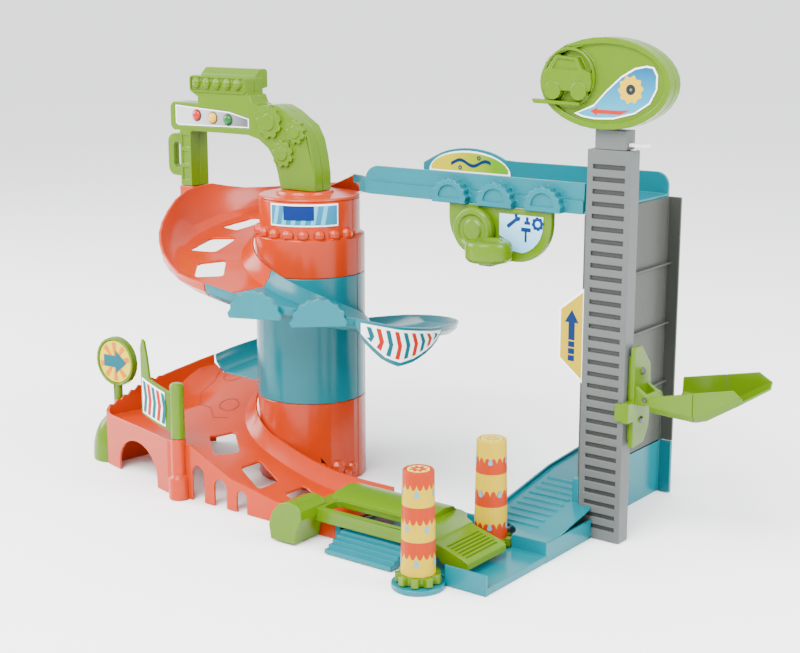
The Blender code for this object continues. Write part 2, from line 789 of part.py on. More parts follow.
def track_angle(point):
    """A corner's angle, counted on as the lower turn is."""
    return math.degrees(math.atan2(point[1], point[0])) % 360 + 360


def lower_edge(angle):
    """Outer face of the lower tier's wall, as a distance from the column's axis."""
    if angle <= track_angle(BACK_LEFT):
        share = (angle - LOWER_FROM) / (track_angle(BACK_LEFT) - LOWER_FROM)
        start = TRACK_RIM_R + WALL
        return start + (math.hypot(*BACK_LEFT) - start) * share
    if angle <= track_angle(FRONT_LEFT):
        return ray_radius(angle, BACK_LEFT, FRONT_LEFT)
    if angle <= track_angle(FRONT_BEND):
        return ray_radius(angle, FRONT_LEFT, FRONT_BEND)
    return ray_radius(angle, FRONT_BEND, (0.0, FRONT_Y))


def corner_share(angle):
    """How far the running face has turned into the level parking corner, 0 to 1."""
    return max(0.0, min(1.0, (angle - 543) / 18, (620 - angle) / 14))


def lower_rows():
    """Rows across the lower running face, round the column and then out along +X."""
    stops = (LOWER_FROM + JOINT_ANGLE, track_angle(BACK_LEFT), track_angle(FRONT_LEFT),
             track_angle(FRONT_BEND), STRAIGHT_FROM)
    angles = [stops[0]]
    for start, end in zip(stops, stops[1:]):
        angles += spaced(start, end, ROW_ANGLE)[1:]
    rows = []
    for angle in angles:
        z = between(LANE_Z, angle)
        level = corner_share(angle)
        edge = lower_edge(angle) - WALL / 2
        row = [polar(TRACK_INNER, angle, z + LEDGE_LIP),
               polar(TRACK_INNER + 0.0035, angle, z + LEDGE_LIP * 0.45),
               polar(TRACK_INNER + 0.0100, angle, z), polar(WINDOW_R, angle, z)]
        for share in (0.35, 0.7, 1.0):
            radius = WINDOW_R + (edge - WINDOW_R) * share
            mix = level * min(1.0, share * 1.4)
            lift = 0.008 * (1 - level) * max(0.0, share - 0.7) / 0.3 if angle < 600 else 0.0
            row.append(polar(radius, angle, z + (CORNER_Z - z) * mix + lift))
        rows.append(row)
    for x in spaced(0.0, EXIT_X, 0.018)[1:]:
        z = between(EXIT_Z, x)
        row = [(x, -TRACK_INNER, z + LEDGE_LIP), (x, -TRACK_INNER - 0.0035, z + LEDGE_LIP * 0.45),
               (x, -TRACK_INNER - 0.0100, z), (x, -WINDOW_R, z)]
        edge = -FRONT_Y - WALL / 2
        row += [(x, -WINDOW_R - (edge - WINDOW_R) * share, z) for share in (0.35, 0.7, 1.0)]
        rows.append(row)
    return rows


def wall_rows():
    """The outer wall of the lower tier from the ground up to its rim."""
    rows = []

    def stand(x, y, top):
        rows.append([(x, y, 0.0), (x, y, top)])

    for angle in spaced(LOWER_FROM + JOINT_ANGLE, track_angle(BACK_LEFT), 5):
        x, y, top = polar(lower_edge(angle), angle, between(WALL_TOP, angle))
        stand(x, y, top)
    steps = 2 * LEFT_TEETH
    for step in range(1, steps):
        share = step / steps
        fall = max(0.0, share - 0.25) / 0.75
        top = LEFT_TOP_BACK + (LEFT_TOP_FRONT - LEFT_TOP_BACK) * fall
        stand(BACK_LEFT[0] + (FRONT_LEFT[0] - BACK_LEFT[0]) * share,
              BACK_LEFT[1] + (FRONT_LEFT[1] - BACK_LEFT[1]) * share,
              top + (0.0014 if step % 2 else -0.0014))
    stand(*FRONT_LEFT, LEFT_TOP_FRONT - 0.002)
    for share in (0.06, 0.5):
        x = FRONT_LEFT[0] + (FRONT_BEND[0] - FRONT_LEFT[0]) * share
        y = FRONT_LEFT[1] + (FRONT_BEND[1] - FRONT_LEFT[1]) * share
        stand(x, y, between(FRONT_TOP, x))
    stand(*FRONT_BEND, between(FRONT_TOP, FRONT_BEND[0]))
    for x in (-0.030, -0.012, 0.006, 0.019, 0.040, 0.073, 0.105, EXIT_X):
        stand(x, FRONT_Y, between(FRONT_TOP, x))
    return rows


def doorway(name, half, top, centre, turn=0.0):
    """A cutter for a round-headed opening through an upright wall."""
    head = min(half, top * 0.75)
    outline = [(-half, -0.01), (half, -0.01)] + arc(0, top - head, half, 0, 180, 12, head / half)
    item = plate(name, outline, DOOR_CUT, centre)
    item.rotation_euler = (0, 0, turn)
    return item


def make_lower_track():
    """The orange lower tier: wall with arches, running face, corner and the gate's post."""
    track = shell("lower_track", wall_rows(), WALL, outwards=True)
    join(track, shell("lower_deck", lower_rows(), WALL))
    square_start(track, LOWER_FROM + JOINT_ANGLE)
    inner_top = EXIT_Z[0][1] + LEDGE_LIP
    inner = front_plate("exit_inner_wall", [(0.0, 0.0), (EXIT_X, 0.0)]
                        + [(x, z + LEDGE_LIP) for x, z in reversed(EXIT_Z[1:])]
                        + [(0.0, inner_top)], -COLUMN_R - GAP - WALL,
                        -COLUMN_R - GAP)
    join(track, inner)
    centre = GATE_X, GATE_Y
    post = turned("gate_post", [(0.0, GATE_POST_TOP), (GATE_POST_R, GATE_POST_TOP),
                                (GATE_POST_R, GATE_FOOT_H + 0.003),
                                (GATE_FOOT_R, GATE_FOOT_H), (GATE_FOOT_R, 0.0), (0.0, 0.0)],
                  (*centre, 0), steps=24)
    join(track, post)
    cut(track, cylinder("gate_bore", (*centre, GATE_PIN_LOW - GAP), GATE_PIN_R + PIN_PLAY, 0.05,
                        segments=16))
    turn = math.atan2(FRONT_BEND[1] - FRONT_LEFT[1], FRONT_BEND[0] - FRONT_LEFT[0])
    arch_y = FRONT_LEFT[1] + (BIG_ARCH_X - FRONT_LEFT[0]) * math.tan(turn)
    cut(track, doorway("big_arch", BIG_ARCH_HALF, BIG_ARCH_TOP, (BIG_ARCH_X, arch_y, 0), turn))
    for index, (x, half, top) in enumerate(SMALL_ARCHES):
        cut(track, doorway(f"small_arch_{index}", half, top, (x, FRONT_Y, 0)))
    angle, radius = LANE_WINDOW
    cut(track, window("lane_window", polar(radius, angle, between(LANE_Z, angle)), angle))
    for index, (x, y) in enumerate(EXIT_WINDOWS):
        cut(track, window(f"exit_window_{index}", (x, y, between(EXIT_Z, x)), 270))
    finish(track, "orange")


def make_gate():
    """The swinging barrier: a sleeve on a pin, a bent panel and its label."""
    place = (GATE_X, GATE_Y, 0)
    bore = GATE_PIN_R + PIN_PLAY
    low = GATE_POST_TOP + GAP
    pin_top = GATE_TOP - 0.004
    finish(cylinder("gate_pin", (GATE_X, GATE_Y, GATE_PIN_LOW), GATE_PIN_R,
                    pin_top - GATE_PIN_LOW, segments=16), "steel")
    barrier = turned("gate_barrier", [(0.0, GATE_TOP), (GATE_SLEEVE_R - 0.002, GATE_TOP),
                                      (GATE_SLEEVE_R, GATE_TOP - 0.002), (GATE_SLEEVE_R, low),
                                      (bore, low), (bore, pin_top + GAP), (0.0, pin_top + GAP)],
                     place, steps=24)
    reach = GATE_SLEEVE_R - 0.001
    rows, label_rows = [], []
    for step in range(13):
        share = step / 12
        x, y = 0.0, 0.0
        for part in spaced(0.0, share, 0.05)[1:] if share else ():
            turn = math.radians(GATE_TURN + GATE_BEND * (0.5 - part))
            length = GATE_LONG * share / max(1, round(share / 0.05))
            x += length * math.cos(turn)
            y += length * math.sin(turn)
        start = math.radians(GATE_TURN + GATE_BEND / 2)
        x += GATE_X + reach * math.cos(start)
        y += GATE_Y + reach * math.sin(start)
        low_z = 0.062 + 0.013 * share
        top_z = 0.100 + 0.014 * share
        if share > 0.7:
            top_z += 0.034 * math.sin(math.pi * (share - 0.7) / 0.36) ** 0.6
        rows.append([(x, y, low_z), (x, y, top_z)])
        if 0.15 < share < 0.95:
            side = math.radians(GATE_TURN + GATE_BEND * (0.5 - share) + 90)
            shift = GATE_THICK / 2 + GAP
            lx, ly = x + shift * math.cos(side), y + shift * math.sin(side)
            label_rows.append([(lx, ly, low_z + 0.003), (lx, ly, 0.100 + 0.014 * share - 0.003)])
    panel = shell("gate_panel", rows, GATE_THICK)
    panel.modifiers["wall"].offset = 0.0
    join(barrier, panel)
    finish(barrier, "lime")
    label = finish(shell("gate_label", label_rows, LABEL_THICK, outwards=True), "chevron_label")
    carry(axis_empty("gate_axis", place), barrier, label)


def make_round_sign():
    """The round arrow sign on its post, with a bell foot against the left wall."""
    turn = math.radians(SIGN_TURN)
    deep = SIGN_DEEP / 2
    disc = turned("round_sign", [(0.0, deep - 0.002), (SIGN_R - 0.003, deep - 0.002),
                                 (SIGN_R - 0.0026, deep), (SIGN_R - 0.0006, deep),
                                 (SIGN_R, deep - 0.0008), (SIGN_R, -deep + 0.0008),
                                 (SIGN_R - 0.0008, -deep), (0.0, -deep)],
                  (SIGN_X, SIGN_Y, SIGN_Z), "FRONT")
    disc.rotation_euler = (math.pi / 2, 0, turn)
    post_top = SIGN_Z - SIGN_R + 0.003
    low = SIGN_FOOT_TOP + GAP
    join(disc, cylinder("round_sign_post", (SIGN_X, SIGN_Y, low), SIGN_POST_R, post_top - low,
                        segments=20))
    finish(disc, "lime")
    face = deep - 0.002 + GAP
    label = cylinder("round_sign_label", (SIGN_X + face * math.sin(turn),
                                          SIGN_Y - face * math.cos(turn), SIGN_Z),
                     SIGN_R - 0.0036, LABEL_THICK, "FRONT", segments=32)
    label.rotation_euler = (0, 0, turn)
    finish(label, "yellow_label")
    profile = [(SIGN_POST_R + 0.0006, SIGN_FOOT_TOP)]
    profile += [(SIGN_FOOT_R * math.sin(math.radians(a)),
                 0.006 + (SIGN_FOOT_TOP - 0.006) * math.cos(math.radians(a)))
                for a in range(24, 91, 11)]
    profile += [(SIGN_FOOT_R, 0.0), (0.0, 0.0)]
    foot = turned("round_sign_foot", [(0.0, SIGN_FOOT_TOP)] + profile, (SIGN_FOOT_X, SIGN_Y, 0))
    join(foot, cylinder("foot_socket", (SIGN_X, SIGN_Y, 0.010), SIGN_POST_R + 0.001,
                        SIGN_FOOT_TOP - 0.010, segments=20))
    slope = math.atan2(BACK_LEFT[0] - FRONT_LEFT[0], BACK_LEFT[1] - FRONT_LEFT[1])
    side = block("foot_side", (-GAP, -0.08, -0.01), (0.08, 0.08, 0.08))
    side.location = (FRONT_LEFT[0], FRONT_LEFT[1], 0)
    side.rotation_euler = (0, 0, -slope)
    cut(foot, side)
    finish(foot, "lime")


def arch_outline():
    """The arch seen from the front: post, beam, crown and curved leg."""
    return [(ARCH_POST_X0, ARCH_POST_LOW), (ARCH_POST_X1, ARCH_POST_LOW),
            (ARCH_POST_X1, BEAM_LOW - 0.002), (ARCH_POST_X1 + 0.002, BEAM_LOW),
            (-0.066, BEAM_LOW), (-0.052, BEAM_LOW - 0.0035), (-0.040, BEAM_LOW - 0.0115),
            (-0.033, BEAM_LOW - 0.0215), (-0.029, BEAM_LOW - 0.0335), (-0.0255, LEG_LOW),
            (0.0165, LEG_LOW), (0.0165, BEAM_LOW - 0.0325), (0.0140, BEAM_LOW - 0.0165),
            (0.0100, BEAM_LOW - 0.0005), (0.0030, BEAM_TOP - 0.016), (-0.0070, BEAM_TOP - 0.010),
            (-0.0180, BEAM_TOP - 0.003), (-0.0300, BEAM_TOP + 0.002),
            (-0.0420, BEAM_TOP + 0.002), (-0.0520, BEAM_TOP),
            (-0.060, BEAM_TOP + 0.003), (-0.063, CROWN_LOW), (CROWN_X1, CROWN_LOW + 0.001),
            (CROWN_X1, CROWN_TOP - 0.002), (CROWN_X1 - 0.002, CROWN_TOP),
            (CROWN_X0 + 0.002, CROWN_TOP), (CROWN_X0, CROWN_TOP - 0.002),
            (CROWN_X0, CROWN_LOW + 0.001), (-0.131, CROWN_LOW - 0.004),
            (-0.131, BEAM_TOP), (BEAM_LEFT + 0.004, BEAM_TOP), (BEAM_LEFT, BEAM_TOP - 0.004),
            (BEAM_LEFT, BEAM_LOW + 0.004), (BEAM_LEFT + 0.004, BEAM_LOW),
            (ARCH_POST_X0, BEAM_LOW)]


def light_window(border):
    """The tapering window for the traffic lights, made smaller by a border."""
    low, top = BEAM_LOW + border, BEAM_TOP - border
    left, right = -0.1630 + border, -0.0646 - border
    return [(left, low + 0.0065), (left + 0.0040, low + 0.0045), (right, low + 0.0060),
            (right, top - 0.0120), (-0.0900, top - 0.0065), (left, top - 0.0025)]


def make_arch():
    """The green arch: front and back shell, light panel and three lamps."""
    y_mid = GAP / 2
    handle_x0, handle_x1 = ARCH_POST_X0 - 0.025, ARCH_POST_X0 + 0.002
    handle = rounded(handle_x0, HANDLE_LOW, handle_x1, HANDLE_TOP, 0.009)
    hole = rounded(handle_x0 + 0.008, HANDLE_LOW + HANDLE_BAR, ARCH_POST_X0 - 0.008,
                   HANDLE_TOP - HANDLE_BAR, 0.0038)
    front = front_plate("arch_front", arch_outline(), -ARCH_HALF, -y_mid)
    join(front, front_plate("handle_front", handle, -0.004, -y_mid, [hole]))
    pitch = (CROWN_X1 - CROWN_X0 - 0.006) / CROWN_BUMPS
    for index in range(CROWN_BUMPS):
        x = CROWN_X0 + 0.003 + pitch * (index + 0.5)
        centre = (x, -ARCH_HALF + 0.001, CROWN_LOW + 0.0095)
        join(front, ball(f"crown_bump_{index}", centre, pitch * 0.44))
    for index, (x, z, radius) in enumerate(ARCH_GEARS):
        wheel = front_plate(f"arch_gear_{index}", gear(x, z, radius, 0.0022, 9),
                            -ARCH_HALF - 0.003, -ARCH_HALF + 0.002)
        join(front, wheel)
        join(front, cylinder(f"arch_hub_{index}", (x, -ARCH_HALF, z), radius * 0.5, 0.0042,
                             "FRONT", segments=20))
    cut(front, front_plate("light_recess", light_window(0.0), -ARCH_HALF - 0.01,
                           -ARCH_HALF + RECESS_DEEP))
    lattice = []
    for z in (0.274, 0.290, 0.306):
        lattice.append(((ARCH_POST_X0 + 0.003, -ARCH_HALF - 0.005, z),
                        (ARCH_POST_X1 - 0.003, -ARCH_HALF + 0.0012, z + 0.012)))
    cut(front, boxes("post_lattice", lattice))
    finish(front, "lime")
    back = front_plate("arch_back", arch_outline(), y_mid, ARCH_HALF)
    join(back, front_plate("handle_back", handle, y_mid, 0.004, [hole]))
    hood = side_plate("crown_hood", [(y_mid + 0.002, CROWN_LOW + 0.003),
                                     (CROWN_BACK_Y, CROWN_LOW + 0.006),
                                     (CROWN_BACK_Y, CROWN_BACK_TOP - 0.002),
                                     (CROWN_BACK_Y - 0.003, CROWN_BACK_TOP),
                                     (0.009, CROWN_BACK_TOP), (y_mid + 0.002, CROWN_TOP + 0.001)],
                      CROWN_X0 + 0.001, CROWN_X1 - 0.001)
    join(back, hood)
    finish(back, "lime")
    panel_back = -ARCH_HALF + RECESS_DEEP - GAP
    panel_front = panel_back - 0.001
    finish(front_plate("light_panel", light_window(GAP * 1.5), panel_front, panel_back), "silver")
    for name, paint, x, z in LAMPS:
        lamp = turned(name, [(0.0, 0.0034), (LAMP_R * 0.5, 0.0029), (LAMP_R * 0.85, 0.0015),
                             (LAMP_R, 0.0), (0.0, 0.0)], (x, panel_front - GAP, z), "FRONT",
                      steps=20)
        finish(lamp, paint)


def make_bridge():
    """The teal bridge: floor, two guards, wheel reliefs, the half oval and its label."""
    joint = UPPER_FROM - JOINT_ANGLE
    outer = TRACK_RIM_R + WALL
    floor_top = BRIDGE_LOW + BRIDGE_FLOOR
    start = polar(outer, joint, 0)[:2]
    curve = arc(0, 0, BRIDGE_CLEAR_R, joint, PARTING_ANGLE, 10)
    outline = [(BRIDGE_FRONT_X, 0.0), (BRIDGE_RIGHT, 0.0), (BRIDGE_RIGHT, BRIDGE_BACK),
               (BRIDGE_BACK_X, BRIDGE_BACK), start] + curve
    bridge = flat_plate("bridge_deck", outline, BRIDGE_LOW, floor_top)
    lip_rows = [[(x, y, BRIDGE_LOW + 0.0005), (x, y, floor_top + 0.006)] for x, y in curve]
    lip_rows.append([(BRIDGE_FRONT_X, 0.0002, BRIDGE_LOW + 0.0005),
                     (BRIDGE_FRONT_X, 0.0002, floor_top + 0.012)])
    join(bridge, shell("bridge_lip", lip_rows, 0.002, outwards=True))
    front = [(BRIDGE_FRONT_X, BRIDGE_LOW), (GUARD_RIGHT, BRIDGE_LOW), (GUARD_RIGHT, GUARD_TOP)]
    front += arc(BRIDGE_FRONT_X + 0.014, GUARD_TOP - 0.014, 0.014, 90, 180, 6)
    join(bridge, front_plate("bridge_guard", front, 0.0, GUARD_WALL))
    skirt = rounded(BRIDGE_FRONT_X + 0.004, BRIDGE_LOW, GUARD_RIGHT, SKIRT_TOP, 0.0015, 2)
    join(bridge, front_plate("bridge_skirt", skirt, -0.002, 0.001))
    for index, x in enumerate(BRIDGE_WHEELS):
        outline = half_wheel(x, BRIDGE_LOW + 0.0025, BRIDGE_WHEEL_R, 9, BRIDGE_LOW)
        join(bridge, front_plate(f"bridge_wheel_{index}", outline, -BRIDGE_WHEEL_DEEP, 0.001))
        inner = arc(x, BRIDGE_LOW + 0.0045, BRIDGE_WHEEL_R * 0.62, 0, 180, 10)
        cut(bridge, front_plate(f"wheel_recess_{index}", inner, -BRIDGE_WHEEL_DEEP - 0.005,
                                -BRIDGE_WHEEL_DEEP + 0.002))
    back_y = BRIDGE_BACK - GUARD_WALL
    back = [(BRIDGE_BACK_X, BRIDGE_LOW), (BRIDGE_RIGHT, BRIDGE_LOW)]
    back += arc(BRIDGE_RIGHT - 0.012, BACK_TOP - 0.012, 0.012, 0, 90, 6)
    back += [(OVAL_X + OVAL_HALF, BACK_TOP - 0.001)]
    back += arc(OVAL_X, OVAL_LOW, OVAL_HALF, 40, 140, 12, (OVAL_TOP - OVAL_LOW) / OVAL_HALF)
    back += [(BRIDGE_BACK_X, OVAL_LOW + 0.008)]
    join(bridge, front_plate("bridge_back_guard", back, back_y, BRIDGE_BACK))
    finish(bridge, "teal")
    wide = OVAL_HALF - OVAL_BORDER
    face = arc(OVAL_X, OVAL_LOW + 0.001, wide, 0, 180, 18,
               (OVAL_TOP - OVAL_LOW - OVAL_BORDER * 0.7) / wide)
    face_y = back_y - GAP
    finish(front_plate("bridge_label", face, face_y - LABEL_THICK, face_y), "yellow_label")


def make_workshop():
    """The green workshop panel, its label, its upright disc and its level knob."""
    top = BRIDGE_LOW - GAP
    r = PANEL_ROUND
    outline = ([(PANEL_X0, top)] + arc(PANEL_X0 + r, PANEL_LOW + r, r, 180, 270, 8)
               + arc(PANEL_X1 - r, PANEL_LOW + r, r, 270, 360, 8) + [(PANEL_X1, top)])
    panel = front_plate("workshop_panel", outline, -PANEL_THICK, 0.0)
    label = [(0.2175, top - 0.0045), (0.2175, 0.2530), (0.2240, 0.2500), (0.2300, 0.2405),
             (0.2400, 0.2395)]
    label += arc(PANEL_X1 - r, PANEL_LOW + r, r - 0.0075, 285, 360, 6)
    label += [(PANEL_X1 - 0.0075, top - 0.0045)]
    low_y = KNOB_Y - 0.006
    arm = block("knob_arm", (KNOB_X - 0.006, low_y, PANEL_LOW),
                (KNOB_X + 0.006, -PANEL_THICK + 0.001, KNOB_Z - GAP))
    join(panel, arm)
    cut(panel, cylinder("disc_socket", (DISC_X, -0.0015, DISC_Z), SPINDLE_R + GAP, 0.02, "FRONT",
                        segments=16))
    finish(panel, "lime")
    face = -PANEL_THICK - GAP
    finish(front_plate("workshop_label", label, face - LABEL_THICK, face), "blue_label")
    bore = SPINDLE_R + PIN_PLAY
    disc_back = -PANEL_THICK - 2 * GAP
    finish(cylinder("disc_pin", (DISC_X, -0.0018, DISC_Z), SPINDLE_R, 0.0102, "FRONT",
                    segments=16), "steel")
    disc = turned("workshop_disc", [(0.0, DISC_THICK - 0.0005), (0.008, DISC_THICK - 0.0005),
                                    (0.010, DISC_THICK - 0.002), (0.0125, DISC_THICK - 0.002),
                                    (0.0145, DISC_THICK), (DISC_R - 0.002, DISC_THICK),
                                    (DISC_R, DISC_THICK - 0.002), (DISC_R, 0.0008),
                                    (DISC_R - 0.0008, 0.0), (bore, 0.0), (bore, 0.0055),
                                    (0.0, 0.0055)], (DISC_X, disc_back, DISC_Z), "FRONT")
    finish(disc, "lime")
    finish(cylinder("knob_pin", (KNOB_X, KNOB_Y, KNOB_Z), SPINDLE_R, 0.0120, segments=16),
           "steel")
    knob = turned("workshop_knob", [(0.0, KNOB_H - 0.003), (0.009, KNOB_H - 0.003),
                                    (0.0115, KNOB_H), (KNOB_R - 0.004, KNOB_H),
                                    (KNOB_R - 0.0012, KNOB_H - 0.0014),
                                    (KNOB_R, KNOB_H - 0.005), (KNOB_R, 0.003),
                                    (KNOB_R - 0.003, 0.0), (bore, 0.0), (bore, 0.0123),
                                    (0.0, 0.0123)], (KNOB_X, KNOB_Y, KNOB_Z))
    finish(knob, "lime")


def make_tower():
    """The grey lift tower: slotted rack, deep web, neck, lever and arrow sign."""
    front = -RACK_PLATE
    rack = block("tower_rack", (RACK_X0, front, 0.0), (RACK_X1, 0.0, RACK_TOP))
    for index, x in enumerate((RACK_X0, RACK_X1 - WALL)):
        join(rack, block(f"rack_flange_{index}", (x, front + 0.001, 0.0),
                         (x + WALL, RACK_DEEP, RACK_TOP)))
    join(rack, block("rack_back", (RACK_X0 + 0.001, RACK_DEEP - WALL, 0.0005),
                     (RACK_X1 - 0.001, RACK_DEEP - 0.0001, RACK_TOP - 0.0005)))
    slots = []
    for index in range(SLOT_COUNT):
        z = SLOT_FIRST + SLOT_PITCH * index
        slots.append(((RACK_X0 + SLOT_EDGE, front - 0.01, z - SLOT_H / 2),
                      (RACK_X1 - SLOT_EDGE, 0.005, z + SLOT_H / 2)))
    cut(rack, boxes("rack_slots", slots))
    finish(rack, "grey")
    web_x1 = RACK_X0 - GAP
    web_x0 = web_x1 - WEB_THICK
    low, top = HOUSING_TOP + GAP, BRIDGE_LOW - GAP
    web = block("tower_web", (web_x0, 0.0, low), (web_x1, WEB_BACK, top))
    join(web, block("web_flange", (web_x0, WEB_BACK - WALL, low),
                    (web_x1 + WEB_FLANGE, WEB_BACK, top)))
    ribs = [((web_x1 - 0.001, 0.020, z), (web_x1 + 0.004, WEB_BACK - 0.001, z + 0.002))
            for z in (0.105, 0.160, 0.215)]
    join(web, boxes("web_ribs", ribs))
    finish(web, "grey")
    neck_low = RACK_TOP + GAP
    neck = block("tower_neck", (NECK_X0, front, neck_low),
                 (NECK_X1, RACK_DEEP, HEAD_Z - HEAD_HIGH - GAP))
    finish(neck, "grey")
    lever = block("head_lever", (NECK_X1 + GAP, 0.001, neck_low + 0.003),
                  (NECK_X1 + 0.0155, 0.009, neck_low + 0.0055))
    finish(lever, "white")
    sign = [(web_x1, ARROW_LOW), (web_x1, ARROW_TOP), (ARROW_LEFT, ARROW_TOP - ARROW_CUT),
            (ARROW_LEFT, ARROW_LOW + ARROW_CUT)]
    finish(front_plate("lift_arrow_sign", sign, -ARROW_THICK - GAP, -GAP), "yellow_label")


def make_head():
    """The oval sign head: a front and a back shell and the drop-shaped label."""
    middle = (HEAD_FRONT + HEAD_BACK) / 2
    squash = HEAD_HIGH / HEAD_WIDE
    oval = ring(HEAD_X, HEAD_Z, HEAD_WIDE, 36, squash)
    inner_wide = HEAD_WIDE - HEAD_WALL
    inner = ring(HEAD_X, HEAD_Z, inner_wide, 36, (HEAD_HIGH - HEAD_WALL) / inner_wide)
    front = front_plate("sign_head_front", oval, HEAD_FRONT, middle - GAP / 2)
    cut(front, front_plate("head_front_hollow", inner,
                           HEAD_FRONT + HEAD_RECESS + HEAD_WALL, middle + 0.01))
    face_wide = HEAD_WIDE - HEAD_RIM
    face = ring(HEAD_X, HEAD_Z, face_wide, 36, (HEAD_HIGH - HEAD_RIM) / face_wide)
    cut(front, front_plate("head_face", face, HEAD_FRONT - 0.01, HEAD_FRONT + HEAD_RECESS))
    car_y = HEAD_FRONT + HEAD_RECESS + 0.0005
    car = [(CAR_X + u, CAR_Z + v) for u, v in CAR_BODY]
    join(front, front_plate("head_car_body", car, HEAD_FRONT - CAR_LIFT, car_y))
    cabin = [(CAR_X + u, CAR_Z + v) for u, v in CAR_CABIN]
    cut(front, front_plate("head_car_window", cabin, HEAD_FRONT - CAR_LIFT - 0.01,
                           HEAD_FRONT - CAR_LIFT + 0.0015))
    round_edge = front_plate("head_ring", ring(CAR_X, CAR_Z, CAR_RING_R, 32), HEAD_FRONT - 0.0010,
                             car_y + 0.0002, [ring(CAR_X, CAR_Z, CAR_RING_R - CAR_RING_WALL, 32)])
    join(front, round_edge)
    for index, shift in enumerate((-0.0125, 0.0115)):
        wheel = cylinder(f"head_car_wheel_{index}", (CAR_X + shift, car_y + 0.0001,
                                                      CAR_Z - 0.0105), 0.0074,
                         HEAD_RECESS + CAR_LIFT + 0.0018, "FRONT", segments=20)
        join(front, wheel)
    lip = [(HEAD_X - 0.0640, HEAD_Z - 0.0140), (HEAD_X - 0.0190, HEAD_Z - 0.0155),
           (HEAD_X - 0.0190, HEAD_Z - 0.0180), (HEAD_X - 0.0620, HEAD_Z - 0.0175)]
    join(front, front_plate("head_lip", lip, HEAD_FRONT - CAR_LIFT - 0.0008, car_y + 0.0003))
    finish(front, "lime")
    back = front_plate("sign_head_back", oval, middle + GAP / 2, HEAD_BACK)
    cut(back, front_plate("head_back_hollow", inner, middle - 0.01, HEAD_BACK - HEAD_WALL))
    finish(back, "lime")
    drop = [(HEAD_X + u, HEAD_Z + v) for u, v in DROP_OUTLINE]
    face_y = HEAD_FRONT + HEAD_RECESS - GAP
    label = front_plate("sign_head_label", drop, face_y - LABEL_THICK, face_y)
    finish(label, "blue_label")


def make_carriage():
    """The lift carriage: plate, hook round the rack's edge, hinge lugs and screws."""
    x0, x1 = CARRIAGE_X, CARRIAGE_X + CARRIAGE_THICK
    outline = [(CARRIAGE_Y0, CARRIAGE_LOW), (CARRIAGE_Y1 - 0.010, CARRIAGE_LOW + 0.002),
               (CARRIAGE_Y1 - 0.002, CARRIAGE_LOW + 0.014), (CARRIAGE_Y1, HOOK_TOP),
               (CARRIAGE_Y1 - 0.002, CARRIAGE_TOP - 0.018),
               (CARRIAGE_Y0 + 0.012, CARRIAGE_TOP), (CARRIAGE_Y0, CARRIAGE_TOP)]
    carriage = side_plate("lift_carriage", outline, x0, x1)
    hook_back = -RACK_PLATE - GAP
    hook_front = hook_back - HOOK_THICK
    side_x = RACK_X1 + GAP
    join(carriage, block("hook_side", (side_x, hook_front, HOOK_LOW),
                         (x1, CARRIAGE_Y0 + 0.004, HOOK_TOP)))
    join(carriage, block("hook_front", (RACK_X1 - 0.0065, hook_front, HOOK_LOW + 0.001),
                         (side_x + 0.001, hook_back, HOOK_TOP - 0.001)))
    shoe = block("carriage_shoe", (side_x, 0.004, CARRIAGE_LOW + 0.006),
                 (x0 + 0.001, 0.010, CARRIAGE_TOP - 0.008))
    join(carriage, shoe)
    for index, (y0, y1) in enumerate(LUGS):
        lug = [(x1 - 0.001, HINGE_Z - LUG_R), (HINGE_X, HINGE_Z - LUG_R)]
        lug += arc(HINGE_X, HINGE_Z, LUG_R, -60, 60, 6)
        lug += [(HINGE_X, HINGE_Z + LUG_R), (x1 - 0.001, HINGE_Z + LUG_R + 0.006)]
        join(carriage, front_plate(f"hinge_lug_{index}", lug, y0, y1))
    pin_y0, pin_y1 = LUGS[0][0], LUGS[1][1]
    cut(carriage, cylinder("lug_bore", (HINGE_X, pin_y1 + 0.01, HINGE_Z),
                           HINGE_PIN_R + PIN_PLAY, pin_y1 - pin_y0 + 0.02, "FRONT", segments=16))
    finish(carriage, "lime")
    pin = finish(cylinder("tray_pin", (HINGE_X, pin_y1, HINGE_Z), HINGE_PIN_R, pin_y1 - pin_y0,
                          "FRONT", segments=16), "steel")
    screws = []
    for name, z in (("carriage_screw_top", 0.148), ("carriage_screw_low", 0.106)):
        screw = cylinder(name, (x1 + GAP, 0.017, z), SCREW_R, 0.0016, top_radius=SCREW_R * 0.7,
                         segments=16)
        screw.rotation_euler = (0, math.pi / 2, 0)
        screws.append(finish(screw, "steel"))
    carry(axis_empty("lift_axis", (RACK_X1, 0, HOOK_LOW)), carriage, pin, *screws)


def tray_rows(x_values):
    """Rows across the tray from its near rim to its far rim."""
    rows = []
    for x in x_values:
        z = between(TRAY_FLOOR, x)
        near = max(between(TRAY_NEAR, x), z + 0.002)
        far = max(between(TRAY_FAR, x), z + 0.002)
        y0, y1 = TRAY_Y0 + TRAY_WALL, TRAY_Y1 - TRAY_WALL
        rows.append([(x, y1, far), (x, y1 - 0.0006, z + 0.0045), (x, y1 - 0.0040, z),
                     (x, y0 + 0.0040, z), (x, y0 + 0.0006, z + 0.0045), (x, y0, near)])
    return rows


